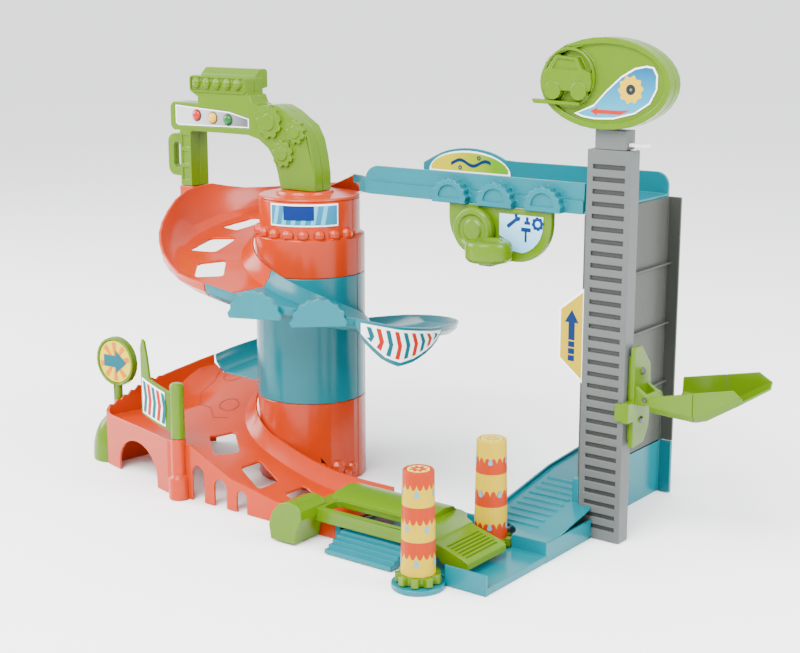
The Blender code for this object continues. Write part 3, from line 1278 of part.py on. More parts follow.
def make_tray():
    """The green tray in two mouldings, hinged on the carriage."""
    rows = tray_rows((TRAY_X0, 0.370, 0.381, 0.392, TRAY_SEAM))
    tray = shell("lift_tray", rows, TRAY_WALL)
    floor_z = between(TRAY_FLOOR, TRAY_X0)
    play = 0.0003
    y0, y1 = LUGS[0][1] + play, LUGS[1][0] - play
    knuckle = arc(HINGE_X, HINGE_Z, LUG_R - 0.0005, 60, 300, 10)
    knuckle += [(TRAY_X0 + 0.003, floor_z - 0.0015), (TRAY_X0 + 0.003, floor_z + 0.0005),
                (TRAY_X0 - 0.001, floor_z + 0.004)]
    join(tray, front_plate("tray_knuckle", knuckle, y0, y1))
    cut(tray, cylinder("knuckle_bore", (HINGE_X, y1 + 0.01, HINGE_Z), HINGE_PIN_R + PIN_PLAY,
                       y1 - y0 + 0.02, "FRONT", segments=16))
    beyond = block("tray_seam_end", (TRAY_SEAM - GAP / 2, TRAY_Y0 - 0.01, 0.10),
                   (TRAY_SEAM + 0.01, TRAY_Y1 + 0.01, 0.17))
    cut(tray, beyond)
    finish(tray, "lime")
    rows = tray_rows((TRAY_SEAM, 0.4126, 0.4220, 0.4315, 0.437, TRAY_TIP))
    end = shell("tray_end", rows, TRAY_WALL)
    before = block("tray_seam_start", (TRAY_SEAM - 0.01, TRAY_Y0 - 0.01, 0.10),
                   (TRAY_SEAM + GAP / 2, TRAY_Y1 + 0.01, 0.17))
    cut(end, before)
    finish(end, "lime")
    carry(axis_empty("tray_axis", (HINGE_X, 0, HINGE_Z)), tray, end)


def ramp_z(y):
    return between(RAMP_PROFILE, y)


def make_base():
    """The teal base: wash lane, stairs, ribbed ramp, roller lobes and tower housing."""
    x0, x1, mid = BASE_X0 + TUCK, BASE_X1 - TUCK, BASE_MID_X + TUCK
    front, lane_front = BASE_FRONT_Y + TUCK, LANE_FRONT_Y + TUCK
    step, lane_back = STEP_Y + TUCK, LANE_BACK_Y - TUCK
    lane = [(x0, lane_front), (mid, lane_front), (mid, front), (x1, front), (x1, step),
            (RAMP_X0 + TUCK, step), (RAMP_X0 + TUCK, lane_back), (x0, lane_back)]
    base = flat_plate("base_tray", lane, FLOOR_TOP - WALL, FLOOR_TOP)
    rack_front = -RACK_PLATE - GAP
    housing_x1 = RACK_X0 - GAP
    slope = [(max(y, step), z) for y, z in RAMP_PROFILE[:-1]]
    slope.append((WEB_BACK - TUCK, ramp_z(WEB_BACK - TUCK)))
    under = [(y, z - WALL) for y, z in reversed(slope)]
    join(base, side_plate("ramp_sheet", slope + under, RAMP_X0 + TUCK, x1))
    cut(base, block("rack_clearance", (housing_x1 - 2 * TUCK, rack_front, -0.01),
                    (BASE_X1 + 0.01, WEB_BACK + 0.01, 0.10)))
    low_step = RAMP_PROFILE[0][1] - TUCK
    walls = (
        ("lane_front_wall", (BASE_X0, LANE_FRONT_Y, 0.0),
         (mid, LANE_FRONT_Y + WALL, LANE_WALL_TOP)),
        ("bay_wall", (BASE_MID_X, BASE_FRONT_Y, 0.0),
         (BASE_MID_X + WALL, LANE_FRONT_Y + WALL - TUCK, LANE_WALL_TOP - TUCK)),
        ("base_front_wall", (BASE_MID_X + TUCK, BASE_FRONT_Y + TUCK / 2, 0.0),
         (BASE_X1, BASE_FRONT_Y + WALL, LANE_WALL_TOP - 2 * TUCK)),
        ("lane_back_wall", (BASE_X0, LANE_BACK_Y - WALL, 0.0),
         (RAMP_X0 + WALL / 2, LANE_BACK_Y, LANE_WALL_TOP)),
        ("lane_left_sill", (BASE_X0 + TUCK / 2, LANE_FRONT_Y + TUCK, 0.0),
         (BASE_X0 + WALL, LANE_BACK_Y - TUCK, FLOOR_TOP - TUCK)),
        ("lane_right_sill", (BASE_X1 - WALL, BASE_FRONT_Y + WALL / 2, 0.0),
         (BASE_X1 - TUCK / 2, STEP_Y + WALL / 2, FLOOR_TOP - TUCK)),
        ("step_riser", (RAMP_X0 + TUCK / 2, STEP_Y, 0.0),
         (BASE_X1 - TUCK / 3, STEP_Y + WALL, low_step)),
        ("ramp_right_wall", (BASE_X1 - WALL, STEP_Y + TUCK, 0.0),
         (BASE_X1, rack_front - TUCK / 3, low_step - TUCK)),
        ("ramp_back_wall", (RAMP_X0 + TUCK / 3, WEB_BACK - WALL, 0.0),
         (housing_x1 - TUCK, WEB_BACK - TUCK / 3, RAMP_PROFILE[-1][1] - TUCK)),
        ("housing_wall", (HOUSING_X0, rack_front, 0.0), (housing_x1, WEB_BACK, HOUSING_TOP)),
        ("housing_flange", (housing_x1 - WALL, WEB_BACK - 0.004, 0.0),
         (housing_x1 + WEB_FLANGE, WEB_BACK - TUCK / 4, HOUSING_TOP - TUCK / 4)),
    )
    for name, low, high in walls:
        join(base, block(name, low, high))
    side = [(STEP_Y + TUCK, TUCK)] + [(max(y, STEP_Y + TUCK), z + 0.003)
                                      for y, z in RAMP_PROFILE[:-1]]
    side += [(WEB_BACK - TUCK / 5, RAMP_PROFILE[-1][1] + 0.003), (WEB_BACK - TUCK / 5, TUCK)]
    join(base, side_plate("ramp_left_wall", side, RAMP_X0, RAMP_X0 + WALL))
    ribs = []
    for index in range(RAMP_RIBS):
        y = -0.052 + RAMP_RIB_PITCH * index
        z = ramp_z(y)
        ribs.append(((RAMP_X0 + 0.010, y - 0.001, z - 0.0015),
                     (HOUSING_X0 - 0.003, y + 0.001, z + 0.0013)))
    join(base, boxes("ramp_ribs", ribs))
    top = LANE_WALL_TOP - 2 * TUCK
    stairs = [(LANE_FRONT_Y + TUCK, TUCK), (LANE_FRONT_Y + TUCK, top)]
    tread = STAIR_OUT / STAIR_COUNT
    rise = (top - STAIR_LOW) / STAIR_COUNT
    for index in range(STAIR_COUNT):
        z = top - rise * index
        y = LANE_FRONT_Y - tread * (index + 1)
        stairs += [(y, z), (y, z - rise)]
    stairs.append((LANE_FRONT_Y - STAIR_OUT, TUCK))
    join(base, side_plate("side_stairs", stairs, STAIR_X0, STAIR_X1))
    for place, y in ROLLER_YS:
        cut(base, cylinder(f"roller_pocket_{place}", (ROLLER_X, y, LOBE_H - TUCK),
                           LOBE_R + TUCK, 0.08, segments=28))
        join(base, cylinder(f"roller_lobe_{place}", (ROLLER_X, y, 0.0), LOBE_R + 2 * TUCK,
                            LOBE_H, segments=28))
    finish(base, "teal")


def make_rollers():
    """Two wash rollers, each a toothed foot, a tapered drum and a top label on a pin."""
    bore = ROLLER_PIN_R + PIN_PLAY
    pin_low = LOBE_H + GAP
    pin_top = ROLLER_TOP - 0.012
    for place, y in ROLLER_YS:
        finish(cylinder(f"roller_pin_{place}", (ROLLER_X, y, pin_low), ROLLER_PIN_R,
                        pin_top - pin_low, segments=16), "steel")
        low = pin_low + GAP
        teeth = plate(f"roller_gear_{place}",
                      gear(0, 0, ROLLER_GEAR_R, ROLLER_GEAR_DEPTH, ROLLER_TEETH),
                      ROLLER_GEAR_TOP - low, (ROLLER_X, y, (low + ROLLER_GEAR_TOP) / 2), "FLAT",
                      [ring(0, 0, bore, 16)])
        finish(teeth, "lime")
        foot = ROLLER_GEAR_TOP + GAP
        drum = turned(f"roller_{place}", [(0.0, ROLLER_TOP - 0.001), (0.0095, ROLLER_TOP - 0.001),
                                          (0.0100, ROLLER_TOP), (ROLLER_TOP_R - 0.0008, ROLLER_TOP),
                                          (ROLLER_TOP_R, ROLLER_TOP - 0.0008),
                                          (ROLLER_LOW_R, foot), (bore, foot),
                                          (bore, pin_top + GAP), (0.0, pin_top + GAP)],
                      (ROLLER_X, y, 0))
        finish(drum, "band_label")
        cap = cylinder(f"roller_cap_{place}", (ROLLER_X, y, ROLLER_TOP - 0.001 + GAP), 0.0090,
                       LABEL_THICK, segments=24)
        finish(cap, "yellow_label")


def make_press():
    """The green press plate: slab with a long slot, rail, ribbed pad and hinged elbow."""
    outline = [(PRESS_X0, RAIL_OUT_Y), (PRESS_X1, RAIL_OUT_Y), (PRESS_X1, PAD_Y1),
               (PRESS_X1 - 0.010, PAD_Y1 + 0.006), (PRESS_X1 - 0.016, PAD_Y1 + 0.015),
               (PRESS_X1 - 0.024, PRESS_BACK_Y), (PRESS_X0 + 0.008, PRESS_BACK_Y),
               (PRESS_X0, PRESS_BACK_Y - 0.008)]
    slot = rounded(SLOT_X0, RAIL_IN_Y, SLOT_X1, PRESS_INNER_Y, 0.004)
    press = flat_plate("press_plate", outline, PRESS_LOW, PRESS_TOP, [slot])
    ridge = [(PRESS_BACK_Y - 0.001, PRESS_TOP - 0.001), (PRESS_BACK_Y - 0.006, PRESS_TOP + 0.004),
             (PRESS_BACK_Y - 0.018, PRESS_TOP + 0.006), (PRESS_INNER_Y + 0.008, PRESS_TOP + 0.004),
             (PRESS_INNER_Y + 0.001, PRESS_TOP - 0.001)]
    join(press, side_plate("press_ridge", ridge, PRESS_X0 + 0.006, SLOT_X1 - 0.004))
    join(press, block("press_rail", (SLOT_X0 - 0.004, RAIL_OUT_Y + 0.0002, PRESS_LOW - 0.006),
                      (SLOT_X1 + 0.004, RAIL_IN_Y - 0.0002, PRESS_TOP - 0.001)))
    pad = [(PRESS_X1 - 0.014, PRESS_LOW + 0.0005), (PRESS_X1 - 0.002, PRESS_LOW - 0.002),
           (PRESS_X1 + 0.008, 0.012), (PAD_X1, 0.012), (PAD_X1, 0.018), (PAD_X1 - 0.006, 0.021),
           (PRESS_X1 + 0.007, 0.0265), (PRESS_X1 - 0.004, PRESS_TOP - 0.0005),
           (PRESS_X1 - 0.014, PRESS_TOP - 0.0005)]
    join(press, front_plate("press_pad", pad, PAD_Y0, PAD_Y1))
    grooves = []
    for index in range(PAD_RIBS):
        x = PRESS_X1 + 0.009 + 0.0036 * index
        grooves.append(((x, PAD_Y0 + 0.005, 0.0188 if index > 2 else 0.0212),
                        (x + 0.0015, PAD_Y1 - 0.005, 0.040)))
    cut(press, boxes("pad_grooves", grooves))
    elbow = [(ELBOW_X0 + 0.002, 0.0015), (ELBOW_X1 - 0.008, 0.0015), (ELBOW_X1 - 0.005, 0.014),
             (ELBOW_X1, PRESS_LOW), (ELBOW_X1, PRESS_TOP + 0.002), (ELBOW_X1 - 0.005, 0.0365),
             (ELBOW_X1 - 0.013, 0.038), (ELBOW_X0 + 0.012, 0.0345), (ELBOW_X0 + 0.004, 0.026),
             (ELBOW_X0, 0.014)]
    join(press, front_plate("press_elbow", elbow, ELBOW_Y0, ELBOW_Y1))
    cut(press, cylinder("press_bore", (PRESS_PIN_X, ELBOW_Y1 + 0.005, PRESS_PIN_Z),
                        PRESS_PIN_R + PIN_PLAY, 0.030, "FRONT", segments=16))
    finish(press, "lime")
    pin_back = FRONT_Y - GAP
    finish(cylinder("press_pin", (PRESS_PIN_X, pin_back, PRESS_PIN_Z), PRESS_PIN_R, 0.024,
                    "FRONT", segments=16), "steel")
    carry(axis_empty("press_axis", (PRESS_PIN_X, 0, PRESS_PIN_Z)), press)


fresh_scene()
make_column()
make_upper_track()
make_middle_track()
make_lower_track()
make_gate()
make_round_sign()
make_arch()
make_bridge()
make_workshop()
make_tower()
make_head()
make_carriage()
make_tray()
make_base()
make_rollers()
make_press()
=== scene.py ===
"""A child's garage, dressed for its photograph: glossy mouldings, printed labels and lamps."""
import json
import math

import bmesh
import bpy
from mathutils import Matrix, Vector
from mathutils.bvhtree import BVHTree

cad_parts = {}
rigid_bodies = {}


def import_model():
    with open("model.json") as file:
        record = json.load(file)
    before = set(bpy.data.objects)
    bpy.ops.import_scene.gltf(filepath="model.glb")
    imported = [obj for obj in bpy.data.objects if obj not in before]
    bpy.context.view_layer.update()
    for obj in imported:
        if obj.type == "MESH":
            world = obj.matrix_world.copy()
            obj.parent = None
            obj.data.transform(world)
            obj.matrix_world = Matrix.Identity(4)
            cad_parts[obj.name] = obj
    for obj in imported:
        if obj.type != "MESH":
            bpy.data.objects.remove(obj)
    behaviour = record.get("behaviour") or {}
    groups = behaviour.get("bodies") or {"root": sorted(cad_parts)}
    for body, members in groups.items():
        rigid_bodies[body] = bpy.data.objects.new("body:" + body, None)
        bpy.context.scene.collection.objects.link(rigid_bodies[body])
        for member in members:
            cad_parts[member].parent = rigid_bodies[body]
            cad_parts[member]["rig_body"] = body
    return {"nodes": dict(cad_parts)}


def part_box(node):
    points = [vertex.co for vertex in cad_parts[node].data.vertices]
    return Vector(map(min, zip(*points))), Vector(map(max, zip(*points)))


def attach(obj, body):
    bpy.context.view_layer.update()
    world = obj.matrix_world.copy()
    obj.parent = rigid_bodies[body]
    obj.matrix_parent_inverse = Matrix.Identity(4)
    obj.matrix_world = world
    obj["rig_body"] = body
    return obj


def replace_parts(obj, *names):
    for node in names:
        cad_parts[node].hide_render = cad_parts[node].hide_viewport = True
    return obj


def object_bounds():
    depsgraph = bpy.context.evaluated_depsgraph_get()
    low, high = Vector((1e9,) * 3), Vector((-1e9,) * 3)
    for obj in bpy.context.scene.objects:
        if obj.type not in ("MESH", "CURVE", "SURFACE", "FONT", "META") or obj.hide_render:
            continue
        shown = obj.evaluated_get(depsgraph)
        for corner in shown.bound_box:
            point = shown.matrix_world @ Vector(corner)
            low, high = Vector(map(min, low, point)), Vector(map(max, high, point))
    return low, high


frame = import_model()
cad_box = [list(corner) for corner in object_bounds()]


# Column: three tiers of ABS, orange, teal and orange, each moulded as a front and a back
# shell. A cap with a low boss closes the top. The tiers are glossy, with a fine swirl in
# the polish, and their edges have the small radius that a mould leaves.
ORANGE, TEAL = "A42B00", "00616C"
SHELL_EDGE, EDGE_SHARE, EDGE_TURN, SMOOTH_TURN = 0.0006, 0.4, 32, 38
WELD, FLAT_TURN = 0.00002, 0.5
SCUFF_SIZE, SKIN_SIZE, SKIN_DEEP, SKIN_STRENGTH = 0.0025, 0.024, 0.00018, 0.3
NOISE_LOW, NOISE_HIGH, TINT_LOW, TINT_HIGH = 0.3, 0.7, 0.93, 1.05
GLOSS, GLOSS_LESS, GLOSS_MORE = 0.21, 0.04, 0.03
PLASTIC_IOR, PLASTIC_SHINE = 1.53, 0.22


def linear(code):
    """An sRGB hex colour as linear RGBA."""
    parts = [int(code[i:i + 2], 16) / 255 for i in (0, 2, 4)]
    return [c / 12.92 if c <= 0.04045 else ((c + 0.055) / 1.055) ** 2.4 for c in parts] + [1.0]


def add_node(tree, kind, settings=None, inputs=None):
    """Add a node to a material, with its settings and its values or links."""
    item = tree.nodes.new(kind)
    for name, value in (settings or {}).items():
        setattr(item, name, value)
    for name, value in (inputs or {}).items():
        if isinstance(value, bpy.types.NodeSocket):
            tree.links.new(value, item.inputs[name])
        else:
            item.inputs[name].default_value = value
    return item


def new_paint(name):
    """A new node material: itself, its tree, its shader and its Object coordinates."""
    paint = bpy.data.materials.new(name)
    paint.use_nodes = True
    tree = paint.node_tree
    place = add_node(tree, "ShaderNodeTexCoord").outputs["Object"]
    return paint, tree, tree.nodes["Principled BSDF"], place


def moulded(name, code, roughness=GLOSS):
    """Injection-moulded ABS: even colour, a polish that varies a little, faint flow waves."""
    paint, tree, shader, place = new_paint(name)
    shader.inputs["IOR"].default_value = PLASTIC_IOR
    shader.inputs["Specular IOR Level"].default_value = PLASTIC_SHINE
    cloud = add_node(tree, "ShaderNodeTexNoise", inputs={
        "Vector": place, "Scale": 1 / SKIN_SIZE, "Detail": 1.0})
    scuff = add_node(tree, "ShaderNodeTexNoise", inputs={
        "Vector": place, "Scale": 1 / SCUFF_SIZE, "Detail": 2.0})
    full = linear(code)
    tint = add_node(tree, "ShaderNodeMix", {"data_type": "RGBA"}, {
        "Factor": cloud.outputs["Fac"], 6: [c * TINT_LOW for c in full[:3]] + [1.0],
        7: [min(1.0, c * TINT_HIGH) for c in full[:3]] + [1.0]})
    tree.links.new(tint.outputs[2], shader.inputs["Base Color"])
    polish = add_node(tree, "ShaderNodeMapRange", inputs={
        "Value": scuff.outputs["Fac"], "From Min": NOISE_LOW, "From Max": NOISE_HIGH,
        "To Min": roughness - GLOSS_MORE, "To Max": roughness + GLOSS_LESS})
    tree.links.new(polish.outputs["Result"], shader.inputs["Roughness"])
    waves = add_node(tree, "ShaderNodeBump", inputs={
        "Height": cloud.outputs["Fac"], "Strength": SKIN_STRENGTH, "Distance": SKIN_DEEP})
    tree.links.new(waves.outputs["Normal"], shader.inputs["Normal"])
    return paint


def softened(name, paint):
    """A moulding's shape with its outer edges rounded, in place of its CAD node."""
    shape = bmesh.new()
    shape.from_mesh(frame["nodes"][name].data)
    bmesh.ops.remove_doubles(shape, verts=shape.verts, dist=WELD)
    bmesh.ops.dissolve_limit(shape, angle_limit=math.radians(FLAT_TURN), verts=shape.verts,
                             edges=shape.edges, use_dissolve_boundaries=False)
    share = shape.edges.layers.float.new("bevel_weight_edge")
    for line in shape.edges:
        if line.is_manifold and line.calc_face_angle() > math.radians(EDGE_TURN):
            reach = min(near.calc_length() for end in line.verts for near in end.link_edges)
            line[share] = min(1.0, EDGE_SHARE * reach / SHELL_EDGE)
    piece = placed(shape, name + "_moulding", paint, body_of(name))
    round_off = piece.modifiers.new("rounded_edges", "BEVEL")
    round_off.limit_method = "WEIGHT"
    round_off.width = SHELL_EDGE
    round_off.segments = 2
    round_off.use_clamp_overlap = False
    piece.modifiers.new("even_shading", "WEIGHTED_NORMAL").keep_sharp = True
    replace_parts(piece, name)


def body_of(name):
    """The body that a CAD node belongs to."""
    return frame["nodes"][name]["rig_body"]


def placed(shape, name, paint, body):
    """Make a shape an object, smooth up to a crease angle, riding on its body."""
    mesh = bpy.data.meshes.new(name)
    shape.to_mesh(mesh)
    shape.free()
    piece = bpy.data.objects.new(name, mesh)
    bpy.context.scene.collection.objects.link(piece)
    mesh.materials.append(paint)
    mesh.shade_smooth()
    mesh.set_sharp_from_angle(angle=math.radians(SMOOTH_TURN))
    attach(piece, body)
    return piece


orange_abs = moulded("orange_abs", ORANGE)
teal_abs = moulded("teal_abs", TEAL)
for name in ("column_lower_front", "column_lower_back", "column_upper_front",
             "column_upper_back", "column_cap", "column_foot"):
    softened(name, orange_abs)
for name in ("column_middle_front", "column_middle_back"):
    softened(name, teal_abs)


# Column label: white self-adhesive film round the upper drum, with a narrow bare margin. It
# is printed with a blue field, pale slanting bands and a plain deep blue plate.
FILM, BLUE_FIELD, FIELD_FOOT = "F4F6F5", "196E98", "126F86"
BLUE_BAND, DEEP_BLUE = "54A4BC", "00205E"
FILM_ROUGH, FILM_SHINE = 0.42, 0.12
PRINT_GRAIN, GRAIN_SHARE, GRAIN_SHADE = 0.0006, 0.08, [0.7, 0.7, 0.7, 1.0]
INK_THICK, FIRST_INK, SECOND_INK, THIRD_INK = 0.00015, 0.0001, 0.0003, 0.0005
FILM_MARGIN, FILM_SIDE, FIELD_STEP = 0.0014, 1.5, 3.0
SLANT_STEP, SLANT_WIDE, SLANT_LEAN, SLANT_FROM, SLANT_TO = 11, 5, 4, 4, 10
PLATE_ASIDE, PLATE_HALF, PLATE_FOOT, PLATE_STEP = 5, 17, 0.0045, 4.0


def printed_film(name, code, far=None, axis="X", start=0.0, end=1.0):
    """Ink on self-adhesive film: a fine print grain, and a second ink it may fade into."""
    paint, tree, shader, place = new_paint(name)
    shader.inputs["Roughness"].default_value = FILM_ROUGH
    shader.inputs["Specular IOR Level"].default_value = FILM_SHINE
    grain = add_node(tree, "ShaderNodeTexNoise", inputs={
        "Vector": place, "Scale": 1 / PRINT_GRAIN, "Detail": 1.0})
    split = add_node(tree, "ShaderNodeSeparateXYZ", inputs={0: place})
    fade = add_node(tree, "ShaderNodeMapRange", inputs={
        "Value": split.outputs[axis], "From Min": start, "From Max": end})
    ink = add_node(tree, "ShaderNodeMix", {"data_type": "RGBA"}, {
        "Factor": fade.outputs["Result"], 6: linear(code), 7: linear(far or code)})
    dots = add_node(tree, "ShaderNodeMapRange", inputs={
        "Value": grain.outputs["Fac"], "From Min": NOISE_LOW, "From Max": NOISE_HIGH,
        "To Max": GRAIN_SHARE})
    shade = add_node(tree, "ShaderNodeMix", {"data_type": "RGBA", "blend_type": "MULTIPLY"}, {
        "Factor": dots.outputs["Result"], 6: ink.outputs[2], 7: GRAIN_SHADE})
    tree.links.new(shade.outputs[2], shader.inputs["Base Color"])
    return paint


def finish_node(name, paint):
    """Give a CAD node that is shown as it is its real finish."""
    mesh = frame["nodes"][name].data
    mesh.materials.clear()
    mesh.materials.append(paint)


def round_wall(radius, centre=(0.0, 0.0), slope=0.0, foot=0.0):
    """Where a print lands on a round wall: degrees round it, height, and distance off it."""
    def place(angle, z, off):
        turn = math.radians(angle)
        reach = radius - slope * (z - foot) + off
        return Vector((centre[0] + reach * math.cos(turn),
                       centre[1] + reach * math.sin(turn), z))
    return place


def front_wall(y):
    """Where a print lands on a wall that faces the front."""
    return lambda x, z, off: Vector((x, y - off, z))


def printed(name, outlines, place, paint, body="garage", lift=FIRST_INK,
            thick=INK_THICK):
    """Thin printed shapes: outlines laid on a surface and given the ink's thickness."""
    shape = bmesh.new()
    spots = {}
    for outline in outlines:
        corners = []
        for u, v in outline:
            key = tuple(round(c, 6) for c in place(u, v, lift))
            if key not in spots:
                spots[key] = (shape.verts.new(place(u, v, lift)), u, v)
            corners.append(spots[key][0])
        shape.faces.new(corners)
    raised = bmesh.ops.extrude_face_region(shape, geom=shape.faces[:])
    for item in raised["geom"]:
        if isinstance(item, bmesh.types.BMVert):
            u, v = spots[tuple(round(c, 6) for c in item.co)][1:]
            item.co = place(u, v, lift + thick)
    bmesh.ops.recalc_face_normals(shape, faces=shape.faces)
    return placed(shape, name, paint, body)


def strip(start, end, step, low, high):
    """The quads of a band along a surface, between two rules for its lower and upper edge."""
    count = max(1, round(abs(end - start) / step))
    along = [start + (end - start) * i / count for i in range(count + 1)]
    return [[(a, low(a)), (b, low(b)), (b, high(b)), (a, high(a))]
            for a, b in zip(along, along[1:])]


def rims_of(name, rising=-180.0):
    """A wrapped CAD label's radius, and its lower and upper edge by angle round the column."""
    stations = {}
    radius = 0.0
    for vert in frame["nodes"][name].data.vertices:
        angle = (math.degrees(math.atan2(vert.co.y, vert.co.x)) - rising) % 360 + rising
        radius = max(radius, math.hypot(vert.co.x, vert.co.y))
        stations.setdefault(round(angle, 1), []).append(vert.co.z)
    edges = sorted((angle, min(zs), max(zs)) for angle, zs in stations.items() if len(zs) > 1)

    def rule(which):
        def height(angle):
            for near, far in zip(edges, edges[1:]):
                if angle <= far[0]:
                    share = max(0.0, (angle - near[0]) / max(1e-6, far[0] - near[0]))
                    return near[which] + (far[which] - near[which]) * share
            return edges[-1][which]
        return height
    return radius, edges[0][0], edges[-1][0], rule(1), rule(2)


white_film = printed_film("white_film", FILM)
deep_blue_ink = printed_film("deep_blue_ink", DEEP_BLUE)
finish_node("column_label", white_film)
drum_radius, first, last, foot_of, head_of = rims_of("column_label")
around = round_wall(drum_radius)
low_edge, high_edge = foot_of(first) + FILM_MARGIN, head_of(first) - FILM_MARGIN
field_ink = printed_film("blue_field_ink", FIELD_FOOT, BLUE_FIELD, "Z", low_edge, high_edge)
printed("label_field", strip(first + FILM_SIDE, last - FILM_SIDE, FIELD_STEP,
                             lambda a: low_edge, lambda a: high_edge),
        around, field_ink)
slants = [[(a, low_edge), (a + SLANT_WIDE, low_edge),
           (a + SLANT_WIDE + SLANT_LEAN, high_edge), (a + SLANT_LEAN, high_edge)]
          for a in range(int(first) + SLANT_FROM, int(last) - SLANT_TO, SLANT_STEP)]
printed("label_slants", slants, around, printed_film("pale_blue_ink", BLUE_BAND),
        lift=SECOND_INK)
plate_middle = (first + last) / 2 - PLATE_ASIDE
printed("label_plate", strip(plate_middle - PLATE_HALF, plate_middle + PLATE_HALF, PLATE_STEP,
                             lambda a: low_edge + PLATE_FOOT, lambda a: high_edge),
        around, deep_blue_ink, lift=THIRD_INK)


# Track turns: an orange half turn at the top, a teal turn with two gear guards on its wall,
# and the orange lower tier with its wall of arches. Each is one glossy ABS moulding.
softened("upper_track", orange_abs)
softened("middle_track", teal_abs)
softened("lower_track", orange_abs)


# Parking deck: a plain car's outline is laid on the orange running face as a thin raised line,
# painted dark orange as the shade of a fine groove.
GROOVE_SHADE, GROOVE_ROUGH = "7C1900", 0.5
GROOVE_WIDE, GROOVE_STEP, GROOVE_LIFT, GROOVE_THICK = 0.0009, 0.003, 0.00005, 0.0001
DECK_MIDDLE, DECK_ALONG, DECK_LOWEST, DECK_HIGHEST = (-0.100, -0.022), 129.0, 0.03, 0.13
CAR_LINE = ((-0.050, 0.010), (-0.049, -0.004), (-0.030, -0.008), (-0.019, -0.020),
            (0.014, -0.021), (0.027, -0.008), (0.046, -0.004), (0.050, 0.010))
WHEEL_SPOTS, WHEEL_LEVEL, WHEEL_SIZE = (-0.028, 0.028), 0.010, 0.0095
painted_groove_shade = moulded("painted_groove_shade", GROOVE_SHADE, roughness=GROOVE_ROUGH)


def ground_of(name):
    """A rule for the height of a CAD node's upper face at a place."""
    mesh = frame["nodes"][name].data
    tree = BVHTree.FromPolygons([v.co for v in mesh.vertices],
                                [tuple(f.vertices) for f in mesh.polygons])

    def height(x, y):
        hit = tree.ray_cast(Vector((x, y, DECK_HIGHEST)), Vector((0, 0, -1)))[0]
        return hit.z if hit else 0.0
    return height


def groove(path, height):
    """The quads of a fine line that follows a path over a running face."""
    fine = []
    for near, far in zip(path, path[1:]):
        steps = max(1, round(math.dist(near, far) / GROOVE_STEP))
        fine += [(near[0] + (far[0] - near[0]) * i / steps,
                  near[1] + (far[1] - near[1]) * i / steps) for i in range(steps)]
    fine.append(path[-1])
    quads = []
    for near, far in zip(fine, fine[1:]):
        long = math.dist(near, far)
        side = Vector((near[1] - far[1], far[0] - near[0])) * (GROOVE_WIDE / 2 / long)
        corners = [Vector(near) - side, Vector(far) - side, Vector(far) + side,
                   Vector(near) + side]
        if min(height(*corner) for corner in corners) > DECK_LOWEST:
            quads.append([tuple(corner) for corner in corners])
    return quads


deck_height = ground_of("lower_track")
along = Vector((math.cos(math.radians(DECK_ALONG)), math.sin(math.radians(DECK_ALONG))))
across = Vector((along.y, -along.x))
paths = [[tuple(Vector(DECK_MIDDLE) + along * u + across * v) for u, v in CAR_LINE]]
for spot in WHEEL_SPOTS:
    paths.append([tuple(Vector(DECK_MIDDLE)
                        + along * (spot + WHEEL_SIZE * math.cos(math.radians(a)))
                        + across * (WHEEL_LEVEL + WHEEL_SIZE * math.sin(math.radians(a))))
                  for a in range(-180, 181, 20)])
lines = [quad for path in paths for quad in groove(path, deck_height)]
printed("deck_groove_shade", lines, lambda x, y, off: Vector((x, y, deck_height(x, y) + off)),
        painted_groove_shade, lift=GROOVE_LIFT, thick=GROOVE_THICK)


# Turn label: white film on the panel that hangs from the teal turn, printed with a row of
# teal and red chevrons that point the way the cars go.
TEAL_INK, RED_INK = "00555F", "A11E0C"
CHEVRON_PITCH, CHEVRON_WIDE, CHEVRON_NOSE = 3.75, 1.75, 1.25
CHEVRON_MARGIN, CHEVRON_FROM, CHEVRON_TO = 0.0022, 2.0, 1.0
teal_ink = printed_film("teal_ink", TEAL_INK)
red_ink = printed_film("red_ink", RED_INK)


def chevrons(first, last, pitch, wide, nose, low, high):
    """Bent bars side by side between two edges, the odd and the even ones apart."""
    bars = []
    for index in range(int((last - first - wide - nose) / pitch) + 1):
        a = first + pitch * index
        b, c, d = a + wide, a + wide + nose, a + nose
        waist = (low(c) + high(c)) / 2
        bars.append([[(a, low(a)), (b, low(b)), (c, waist), (d, waist)],
                     [(d, waist), (c, waist), (b, high(b)), (a, high(a))]])
    return [[half for bar in bars[start::2] for half in bar] for start in (0, 1)]


finish_node("turn_label", white_film)
apron_radius, first, last, foot_of, head_of = rims_of("turn_label", 180.0)
teal_bars, red_bars = chevrons(
    first + CHEVRON_FROM, last - CHEVRON_TO, CHEVRON_PITCH, CHEVRON_WIDE, CHEVRON_NOSE,
    lambda a: foot_of(a) + CHEVRON_MARGIN, lambda a: head_of(a) - CHEVRON_MARGIN)
around = round_wall(apron_radius)
printed("turn_bars_teal", teal_bars, around, teal_ink)
printed("turn_bars_red", red_bars, around, red_ink)


# Gate: a lime ABS barrier that swings on the post. Its bent panel carries a white film with
# the same bars, and it ends in an upright paddle.
LIME = "4A6900"
GATE_AXIS, GATE_HEADING, GATE_BEND = (-0.0425, -0.1395), 196.0, 24.0
GATE_LONG, GATE_START, GATE_FACE = 0.036, 0.0055, 0.00205
BARS_FROM, BARS_TO, BARS_PITCH = 0.0066, 0.0345, 0.0054
BARS_WIDE, BARS_NOSE = 0.0033, -0.0020
BARS_LOW, BARS_LOW_RISE, BARS_HIGH, BARS_HIGH_RISE = 0.0668, 0.013, 0.0952, 0.014
lime_abs = moulded("lime_abs", LIME)
softened("gate_barrier", lime_abs)
finish_node("gate_label", white_film)
finish_node("gate_pin", lime_abs)


